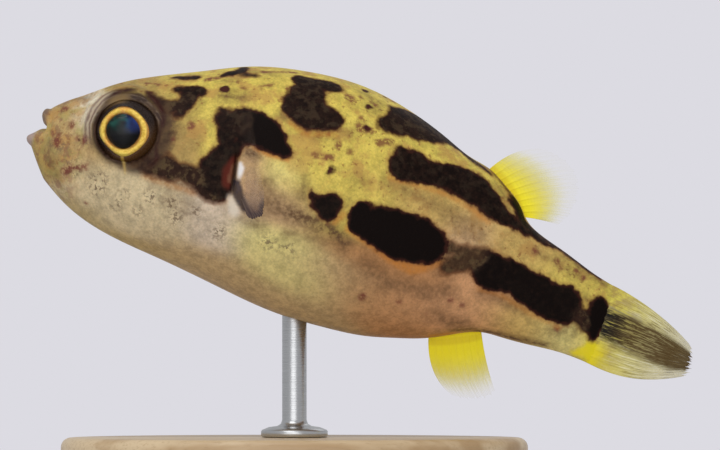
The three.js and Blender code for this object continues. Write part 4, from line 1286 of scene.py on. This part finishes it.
def yellow_fin_material(name, settings, rearward):
    """Yellow film that clears towards the margin. rearward is how far the yellow keeps to the rear."""
    material, tree, shader = new_material(name)
    across, along, ray, streak, relief = fin_lines(tree)
    reach = tree.plus(along, tree.times(tree.minus(1.0, across), rearward))
    reach = tree.plus(reach, tree.swing(streak, 0.2))
    colour = tree.mix(tree.span(reach, 0.25, 0.85), tuple(settings.yellow), srgb(228, 220, 120))
    colour = tree.mix(tree.span(reach, 0.75, 1.15), colour, srgb(222, 220, 206))
    colour = tree.paint(colour, ray, 0.12, srgb(222, 200, 80))
    base = tree.times(tree.span(along, 0.1, 0.14), tree.span(along, 0.22, 0.18))
    colour = tree.paint(colour, base, 0.3, srgb(206, 170, 30))
    film = tree.span(reach, 0.32, 1.0, 0.96, 0.03)
    lines = tree.times(ray, tree.span(along, 0.3, 1.0, 0.02, 0.07))
    alpha = tree.plus(film, lines, clamp=True)
    shade_film(tree, shader, colour, alpha, streak, tree.bump(relief, 0.000006))
    return material


def tail_fin_material(settings):
    """The tail's streaks and dark band, on a film that clears a little towards its margin."""
    material, tree, shader = new_material("tail_fin_film")
    across, along, ray, streak, relief = fin_lines(tree)
    tail = tree.group(tail_colour_group(settings), {"Across": across, "Along": along, "Ray": ray})
    film = tree.span(along, 0.35, 1.0, 1.0, 0.45)
    film = tree.plus(film, tree.times(tail["Band"], 0.4))
    alpha = tree.plus(film, tree.times(ray, 0.12), clamp=True)
    shade_film(tree, shader, tail["Colour"], alpha, streak, tree.bump(relief, 0.000008))
    return material


def pectoral_fin_material(settings):
    """Clear film, cloudy towards its lower rays, with a dark lower margin and tip."""
    material, tree, shader = new_material("pectoral_fin_film")
    across, along, ray, streak, relief = fin_lines(tree)
    lower = tree.times(tree.span(across, 0.88, 0.98), tree.span(along, 0.05, 0.3))
    tip = tree.times(tree.span(across, 0.72, 0.84), tree.span(along, 0.8, 0.97))
    margin = tree.times(tree.plus(lower, tip, clamp=True), 0.85)
    lobe = tree.times(tree.span(across, 0.76, 0.9), tree.span(along, 0.45, 0.85))
    colour = tree.mix(lobe, tuple(settings.pectoral), srgb(112, 88, 78))
    colour = tree.mix(margin, colour, srgb(52, 42, 46))
    colour = tree.paint(colour, ray, 0.25, srgb(150, 126, 104))
    film = tree.span(across, 0.4, 0.75, 0.015, 0.18)
    film = tree.times(film, tree.span(across, 0.05, 0.35))
    film = tree.times(film, tree.span(along, 1.0, 0.7, 0.25, 1.0))
    root = tree.span(along, 0.0, 0.3, 0.3, 0.0)
    marks = tree.plus(tree.times(margin, 0.75), tree.times(lobe, 0.4))
    lines = tree.times(ray, tree.span(across, 0.2, 0.7, 0.0, 0.06))
    alpha = tree.plus(tree.plus(film, root), marks)
    alpha = tree.plus(alpha, lines, clamp=True)
    shade_film(tree, shader, colour, alpha, streak, tree.bump(relief, 0.000006), 0.4)
    return material


class PUFFER_OT_midline_fins(bpy.types.Operator):
    """Makes the dorsal, anal and tail fins"""

    bl_idname = "puffer.midline_fins"
    bl_label = "Dorsal, anal and tail fins"

    def execute(self, context):
        settings = context.scene.puffer_fins
        dorsal = yellow_fin_material("dorsal_fin_film", settings, 0.25)
        anal = yellow_fin_material("anal_fin_film", settings, 0.0)
        make_fin("fin_dorsal", "dorsal_fin", "dorsal_fin", settings, dorsal)
        make_fin("fin_anal", "anal_fin", "anal_fin", settings, anal)
        make_fin("fin_tail", "caudal_fin", "caudal_fin", settings, tail_fin_material(settings))
        return {"FINISHED"}


class PUFFER_OT_pectoral_fins(bpy.types.Operator):
    """Makes the two pectoral fins"""

    bl_idname = "puffer.pectoral_fins"
    bl_label = "Pectoral fins"

    def execute(self, context):
        settings = context.scene.puffer_fins
        material = pectoral_fin_material(settings)
        for word, side in SIDES.items():
            make_fin("fin_pectoral_" + word, "pectoral_fin", "pectoral_fin_" + word, settings, material,
                     side)
        return {"FINISHED"}


# ------------------------------------------------------------------ eyes


def turned(profile, steps):
    """A bmesh turned about Z from an outline of (radius, height) points, in millimetres."""
    bm = bmesh.new()
    vertices = [bm.verts.new((radius, 0, height)) for radius, height in profile]
    edges = [bm.edges.new(pair) for pair in zip(vertices, vertices[1:])]
    bmesh.ops.spin(bm, geom=vertices + edges, cent=(0, 0, 0), axis=(0, 0, 1), dvec=(0, 0, 0),
                   angle=2 * math.pi, steps=steps, use_merge=True, use_duplicate=False)
    bmesh.ops.remove_doubles(bm, verts=bm.verts, dist=1e-4)
    bmesh.ops.recalc_face_normals(bm, faces=bm.faces)
    return bm


def arc(radius, middle, start, end, steps):
    """Points of an arc about the axis: angles are from +Z, and middle is its centre's height."""
    return [(radius * math.sin(angle), middle + radius * math.cos(angle))
            for angle in np.linspace(start, end, steps)]


def eye_places(points, side):
    """Moves points from an eye's own frame, whose Z is its axis, to the shared frame."""
    axis = Vector((GAZE.x, GAZE.y * side, GAZE.z))
    down = (IRIS_TIP - axis * IRIS_TIP.dot(axis)).normalized()
    turn = Matrix((down.cross(axis), down, axis)).transposed()
    flattened = points * np.array([1, 1, EYE_FLATNESS])
    centre = EYE * np.array([1, side, 1])
    return to_row(flattened @ np.array(turn).T + centre)


def make_eye_piece(name, bm, side, material, replaces=()):
    """Sets a turned shape on its eye's axis as a piece, with the places that its material reads."""
    points = np.array([vertex.co[:] for vertex in bm.verts])
    ahead = -side * points[:, 0]
    points = drop_shaped(points, side)
    for vertex, place in zip(bm.verts, eye_places(points, side)):
        vertex.co = place
    bmesh.ops.recalc_face_normals(bm, faces=bm.faces)
    piece = finish_piece(name, bm, material, replaces)
    write_values(piece.data, "from_axis", np.hypot(points[:, 0], points[:, 1]))
    write_values(piece.data, "ahead", ahead)
    write_values(piece.data, "below", points[:, 1])


def drop_shaped(points, side):
    """Squares the gold ring a little, with a soft point below, and sets the pupil forward in it."""
    x, y, z = points.T
    radius = np.hypot(x, y)
    angle = np.arctan2(-side * x, y)  # 0 below the pupil, positive ahead of it
    corners = 0.015 + 0.024 * np.cos(4 * angle) + 0.03 * hill(angle, 0.3)
    corners = corners + 0.05 * hill(angle + 1.45, 0.5) - 0.055 * hill(angle - 0.8, 0.5)
    grow = 1 + corners * ease(radius, 0.4, 0.9)
    inner = 1 - ease(radius, 0.75, 1.1)
    return np.stack([x * grow * (1 - 0.03 * inner) - side * 0.035 * inner, y * grow, z], axis=1)


def eyeball_material(settings):
    """Dark wet skin of the ball, with painted light making it browner below and behind the pupil, a pale
    lid above and one gold streak.
    """
    material, tree, shader = new_material("eyeball")
    grain = tree.group(skin_grain_group(), {"Position": tree.place(), "Fineness": 1.4})
    from_axis, ahead, below = (tree.attribute(name) for name in ("from_axis", "ahead", "below"))
    # painted light: the ball is lighter and browner below and behind the pupil
    lit = tree.span(tree.minus(below, tree.times(ahead, 0.5)), 0.0, 1.5)
    colour = tree.mix(lit, tuple(settings.ball), srgb(86, 58, 32))
    colour = tree.mix(tree.span(grain["Tone"], 0.45, 0.68, 0.0, 0.22), colour, srgb(70, 52, 42))
    upper_front = tree.times(tree.span(below, -0.7, -1.0), tree.span(ahead, -0.3, 0.3))
    lid = tree.times(upper_front, tree.span(from_axis, 1.18, 1.34))
    colour = tree.paint(colour, lid, 0.8, srgb(120, 94, 60))
    streak = tree.times(tree.span(ahead, -0.05, 0.05), tree.span(ahead, 0.18, 0.08))
    colour = tree.paint(colour, streak, tree.span(below, 1.02, 1.1, 0.0, 0.6), srgb(190, 156, 70))
    shade(tree, shader,
          Base_Color=colour,
          Roughness=tree.span(grain["Tone"], 0.3, 0.7, 0.22, 0.34),
          Normal=tree.bump(grain["Height"], 0.000008),
          Specular_IOR_Level=0.2)
    return material


def iris_material(settings):
    """Gold with flecks of amber, darker at its two edges and greener below."""
    material, tree, shader = new_material("iris")
    place = tree.place()
    from_axis, ahead, below = (tree.attribute(name) for name in ("from_axis", "ahead", "below"))
    flecks = tree.noise(place, 9.0, 3.0, 0.65)
    broad = tree.noise(place, 2.4, 2.0)
    colour = tree.mix(tree.span(flecks, 0.35, 0.65), tuple(settings.gold), srgb(214, 184, 84))
    colour = tree.mix(tree.span(broad, 0.5, 0.62, 0.0, 0.6), colour, srgb(198, 134, 58))
    outer, inner = tree.span(from_axis, 0.96, 1.08), tree.span(from_axis, 0.85, 0.76)
    colour = tree.paint(colour, tree.plus(outer, inner, clamp=True), 0.75, srgb(136, 80, 30))
    lower_front = tree.times(tree.span(ahead, 0.75, 1.0), tree.span(below, -0.4, 0.2))
    low = tree.plus(tree.span(below, 0.85, 1.1), lower_front, clamp=True)
    colour = tree.paint(colour, low, 0.55, srgb(184, 178, 70))
    shade(tree, shader,
          Base_Color=colour,
          Metallic=0.35,
          Roughness=tree.span(flecks, 0.3, 0.7, 0.34, 0.5),
          Normal=tree.bump(flecks, 0.00001),
          Specular_IOR_Level=0.3)
    return material


def lens_material(settings):
    """Near black, with a painted green reflection above and a painted bluish one at the rear."""
    material, tree, shader = new_material("eye_lens")
    ahead, below = tree.attribute("ahead"), tree.attribute("below")
    cloud = tree.noise(tree.place(), 3.2, 3.0, 0.6)
    # painted green reflection on the upper part of the pupil
    green = tree.times(tree.span(cloud, 0.4, 0.62), tree.span(below, 0.1, -0.5))
    colour = tree.mix(green, tuple(settings.pupil), srgb(20, 66, 58))
    # painted bluish reflection at the upper rear of the pupil
    rear = tree.times(tree.span(ahead, 0.0, -0.55), tree.span(below, 0.2, -0.3))
    colour = tree.paint(colour, rear, tree.span(cloud, 0.3, 0.6, 0.4, 0.9), srgb(32, 46, 106))
    shade(tree, shader,
          Base_Color=colour,
          Roughness=tree.span(cloud, 0.3, 0.7, 0.3, 0.42),
          Specular_IOR_Level=0.12)
    return material


def cornea_material():
    """Clear and wet. Lamps shine through it, so that the iris is lit."""
    material, tree, shader = new_material("cornea")
    shade(tree, shader, Base_Color=(1, 1, 1), Roughness=0.03, IOR=1.18, Transmission_Weight=1.0)
    through = tree.node("ShaderNodeBsdfTransparent")
    lamp_ray = tree.node("ShaderNodeLightPath").outputs["Is Shadow Ray"]
    blend = tree.node("ShaderNodeMixShader", {0: lamp_ray, 1: shader.outputs[0], 2: through.outputs[0]})
    output = material.node_tree.nodes["Material Output"]
    tree.put(output.inputs["Surface"], blend.outputs[0])
    return material


def eye_outlines(settings):
    """Each part of an eye, in millimetres about its axis, as (name, outline, steps round the axis)."""
    iris, pupil = settings.iris_radius * METRE, settings.pupil_radius * METRE
    rim_angle = math.asin((iris + 0.01) / EYE_RADIUS)
    rim = EYE_RADIUS * math.cos(rim_angle)
    floor = rim - 0.1
    ball = arc(EYE_RADIUS, 0, math.pi, rim_angle, 48)
    ball += [(iris - 0.01, rim - 0.03), (iris - 0.02, floor - 0.08), (0.5, floor - 0.3),
             (0.0, floor - 0.3)]
    ring = [(iris, floor - 0.02), (iris - 0.1, floor + 0.045), ((iris + pupil) / 2, floor + 0.06),
            (pupil + 0.06, floor + 0.03), (pupil, floor - 0.02), (pupil - 0.02, floor - 0.1)]
    lens = arc(pupil + 0.08, floor - 0.33, math.pi / 2, 0, 16)
    dome_angle = math.asin((iris + 0.03) / CORNEA_RADIUS)
    dome_middle = rim - 0.02 - CORNEA_RADIUS * math.cos(dome_angle)
    dome = arc(CORNEA_RADIUS, dome_middle, dome_angle, 0, 20)
    return ("eyeball", ball, 96), ("iris", ring, 96), ("lens", lens, 64), ("cornea", dome, 96)


class PUFFER_OT_eyes(bpy.types.Operator):
    """Makes both eyes: the dark ball, gold iris, lens and clear cornea"""

    bl_idname = "puffer.eyes"
    bl_label = "Eyes"

    def execute(self, context):
        settings = context.scene.puffer_eyes
        materials = {
            "eyeball": eyeball_material(settings),
            "iris": iris_material(settings),
            "lens": lens_material(settings),
            "cornea": cornea_material(),
        }
        for word, side in SIDES.items():
            for part, outline, steps in eye_outlines(settings):
                replaces = ("eye_" + word,) if part == "eyeball" else ()
                make_eye_piece(part + "_" + word, turned(outline, steps), side, materials[part], replaces)
        return {"FINISHED"}


# ------------------------------------------------------------------ stand


def wood_material(settings):
    """Oiled maple, its grain along the foot."""
    material, tree, shader = new_material("maple")
    along = tree.place((60, METRE, METRE))
    rings = tree.noise(along, 0.5, 3.0, 0.55)
    pores = tree.noise(along, 9.0, 3.0, 0.7)
    colour = tree.mix(tree.span(rings, 0.42, 0.62), tuple(settings.wood), tuple(settings.grain))
    colour = tree.mix(tree.span(pores, 0.5, 0.72, 0.0, 0.45), colour, srgb(164, 132, 92))
    shade(tree, shader,
          Base_Color=colour,
          Roughness=tree.span(pores, 0.3, 0.7, 0.36, 0.5),
          Normal=tree.bump(pores, 0.00001),
          Coat_Weight=0.15,
          Coat_Roughness=0.2)
    return material


def steel_material(settings):
    """Satin steel with the fine lines that a lathe leaves round it."""
    material, tree, shader = new_material("satin_steel")
    lines = tree.noise(tree.place((300, 300, 30000)), 1.0, 2.0)
    colour = tree.mix(tree.span(lines, 0.3, 0.7, 0.0, 0.35), tuple(settings.steel), srgb(150, 151, 154))
    shade(tree, shader,
          Base_Color=colour,
          Metallic=1.0,
          Roughness=tree.span(lines, 0.3, 0.7, 0.24, 0.38),
          Normal=tree.bump(lines, 0.000004))
    return material


def foot_bmesh(settings, half_length, half_width, height):
    """An oval foot with a rounded upper edge and a small chamfer below, and a hole for the rod."""
    edge = settings.edge * METRE
    outline = [(0, 0), (half_length - FOOT_CHAMFER, 0), (half_length, FOOT_CHAMFER),
               (half_length, height - edge)]
    outline += [(half_length - edge + edge * math.cos(angle), height - edge + edge * math.sin(angle))
                for angle in np.linspace(0.2, math.pi / 2, 8)]
    outline += [(half_length * share, height) for share in (0.9, 0.7, 0.4, 0.16, 0.075)]
    outline += [(ROD_HOLE_RADIUS, height - ROD_HOLE_DEPTH), (0, height - ROD_HOLE_DEPTH)]
    foot = turned(outline, 160)
    squeeze = half_width / half_length
    for vertex in foot.verts:
        radius = math.hypot(vertex.co.x, vertex.co.y)
        vertex.co.y *= 1 + (squeeze - 1) * ease(radius, 1.0, 4.0)
    return foot


def rod_bmesh(foot_height, flange, top):
    """A round rod that runs up into the belly, with a turned flange that lies on the foot."""
    sill = foot_height + 0.02
    root, tip = sill - 0.35, top + 0.2
    rod = turned([
        (0, root), (ROD_RADIUS, root), (ROD_RADIUS, sill), (flange - 0.06, sill),
        (flange, sill + 0.06), (flange, sill + 0.26), (flange - 0.05, sill + 0.33),
        (flange - 0.35, sill + 0.45), (ROD_RADIUS + 0.22, sill + 0.5), (ROD_RADIUS + 0.06, sill + 0.6),
        (ROD_RADIUS, sill + 0.78), (ROD_RADIUS, tip), (0, tip),
    ], 72)
    sharp = [edge for edge in rod.edges if not edge.is_boundary and edge.calc_face_angle(0) > 1.0]
    bmesh.ops.bevel(rod, geom=sharp, offset=0.02, segments=2, profile=0.5, affect="EDGES", material=-1)
    return rod


class PUFFER_OT_stand(bpy.types.Operator):
    """Makes the stand: an oval maple foot and a steel rod with a flange"""

    bl_idname = "puffer.stand"
    bl_label = "Stand"

    def execute(self, context):
        settings = context.scene.puffer_stand
        foot_corner = np.array(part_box("stand_foot")[1]) * METRE
        rod_corner = np.array(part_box("stand_rod")[1]) * METRE
        foot = foot_bmesh(settings, *foot_corner)
        rod = rod_bmesh(foot_corner[2], rod_corner[0], rod_corner[2])
        for name, bm, slot, material, node in (
            ("foot", foot, "foot_wood", wood_material(settings), "stand_foot"),
            ("rod", rod, "rod_steel", steel_material(settings), "stand_rod"),
        ):
            bmesh.ops.scale(bm, vec=Vector((1, 1, 1)) / METRE, verts=bm.verts)
            bmesh.ops.recalc_face_normals(bm, faces=bm.faces)
            piece = finish_piece(name, bm, material, (node,))
            piece.data.set_sharp_from_angle(angle=SHARP_ANGLE)
        return {"FINISHED"}


# ------------------------------------------------------------------ studio

SKY = (0.96, 0.97, 1.0)  # colour of the even light
LAMP_TARGET = Vector((0.0027, 0, 0.012))  # the middle of the fish and its stand, in metres
SENSOR_WIDTH = 36  # of the camera, in its own millimetres
VIEW_AHEAD = 0.00295  # the camera's place along the shared frame's X, in metres
VIEW_DROP = 4.046  # how far the camera stands below the lips, in millimetres


def floor_material(settings):
    """Pale floor that fades into the backdrop away from the fish."""
    material, tree, shader = new_material("studio_floor")
    place = tree.node("ShaderNodeTexCoord").outputs["Object"]
    away = tree.node("ShaderNodeVectorMath", {0: place}, operation="LENGTH").outputs["Value"]
    shade(tree, shader, Base_Color=tuple(settings.backdrop), Roughness=0.85, Specular_IOR_Level=0.1,
          Alpha=tree.span(away, 0.03, 0.09, 1.0, 0.0))
    return material


def add_floor(settings):
    """A round pale floor under the stand."""
    bm = bmesh.new()
    bmesh.ops.create_circle(bm, cap_ends=True, segments=96, radius=0.12)
    mesh = bpy.data.meshes.new("studio_floor")
    bm.to_mesh(mesh)
    bm.free()
    mesh.materials.append(floor_material(settings))
    floor = bpy.data.objects.new("studio_floor", mesh)
    bpy.context.scene.collection.objects.link(floor)


def add_lamp(name, place, size, power):
    """A round soft lamp that points at the fish."""
    lamp = bpy.data.lights.new(name, "AREA")
    lamp.shape = "DISK"
    lamp.size = size
    lamp.energy = power
    lamp_object = bpy.data.objects.new(name, lamp)
    lamp_object.location = place
    lamp_object.rotation_euler = (LAMP_TARGET - Vector(place)).to_track_quat("-Z", "Y").to_euler()
    bpy.context.scene.collection.objects.link(lamp_object)


def add_world(settings):
    """An even light from all round. The camera, and the clear cornea, see the plain backdrop instead."""
    world = bpy.data.worlds.new("studio")
    bpy.context.scene.world = world
    world.use_nodes = True
    tree = Tree(world.node_tree)
    lights = world.node_tree.nodes["Background"]
    tree.put(lights.inputs["Color"], SKY)
    tree.put(lights.inputs["Strength"], settings.fill)
    shown = tree.node("ShaderNodeBackground", {"Color": tuple(settings.backdrop), "Strength": 1.0})
    rays = tree.node("ShaderNodeLightPath").outputs
    seen = tree.math("MAXIMUM", rays["Is Camera Ray"], rays["Is Transmission Ray"])
    blend = tree.node("ShaderNodeMixShader", {0: seen, 1: lights.outputs[0], 2: shown.outputs[0]})
    tree.put(world.node_tree.nodes["World Output"].inputs["Surface"], blend.outputs[0])


def add_camera(settings):
    """A long lens, level with the fish and square to its side, at the distance that fits it in."""
    scene = bpy.context.scene
    camera = bpy.data.cameras.new("camera")
    camera.lens = settings.focal_length
    camera.sensor_width = SENSOR_WIDTH
    camera.clip_start = 0.01
    distance = settings.view_width * settings.focal_length / camera.sensor_width
    camera_object = bpy.data.objects.new("camera", camera)
    camera_object.location = (VIEW_AHEAD, -distance, (LIP_HEIGHT - VIEW_DROP) / METRE)
    camera_object.rotation_euler = (math.pi / 2, 0, 0)
    scene.collection.objects.link(camera_object)
    scene.camera = camera_object


class PUFFER_OT_studio(bpy.types.Operator):
    """Sets up the pale floor, soft lamps, backdrop and camera"""

    bl_idname = "puffer.studio"
    bl_label = "Studio"

    def execute(self, context):
        settings = context.scene.puffer_studio
        context.scene.view_settings.view_transform = "Standard"
        add_floor(settings)
        add_lamp("key", (-0.03, -0.07, 0.13), 0.09, settings.key)
        add_lamp("rim", (0.06, 0.09, 0.09), 0.06, settings.key * 0.08)
        add_lamp("front", (-0.02, -0.15, 0.008), 0.16, settings.key * 1.5)
        add_world(settings)
        add_camera(settings)
        return {"FINISHED"}


# ------------------------------------------------------------------ panel and registration


class PUFFER_PT_pieces(bpy.types.Panel):
    """Lists the pieces of the pufferfish and its studio"""

    bl_label = "Pufferfish"
    bl_space_type = "VIEW_3D"
    bl_region_type = "UI"
    bl_category = "Pufferfish"

    def draw(self, context):
        for operator in OPERATORS:
            self.layout.operator(operator.bl_idname)


SETTINGS = {
    "puffer_skin": PufferSkinSettings,
    "puffer_fins": PufferFinSettings,
    "puffer_eyes": PufferEyeSettings,
    "puffer_stand": PufferStandSettings,
    "puffer_studio": PufferStudioSettings,
}
OPERATORS = (
    PUFFER_OT_skin, PUFFER_OT_midline_fins, PUFFER_OT_pectoral_fins, PUFFER_OT_eyes, PUFFER_OT_stand,
    PUFFER_OT_studio,
)


def register():
    for cls in (*SETTINGS.values(), *OPERATORS, PUFFER_PT_pieces):
        bpy.utils.register_class(cls)
    for name, cls in SETTINGS.items():
        setattr(bpy.types.Scene, name, bpy.props.PointerProperty(type=cls))


def unregister():
    for name in SETTINGS:
        delattr(bpy.types.Scene, name)
    for cls in (PUFFER_PT_pieces, *OPERATORS, *SETTINGS.values()):
        bpy.utils.unregister_class(cls)


def main():
    register()
    bpy.ops.puffer.skin()
    bpy.ops.puffer.midline_fins()
    bpy.ops.puffer.pectoral_fins()
    bpy.ops.puffer.eyes()
    bpy.ops.puffer.stand()
    bpy.ops.puffer.studio()


if __name__ == "__main__":
    main()
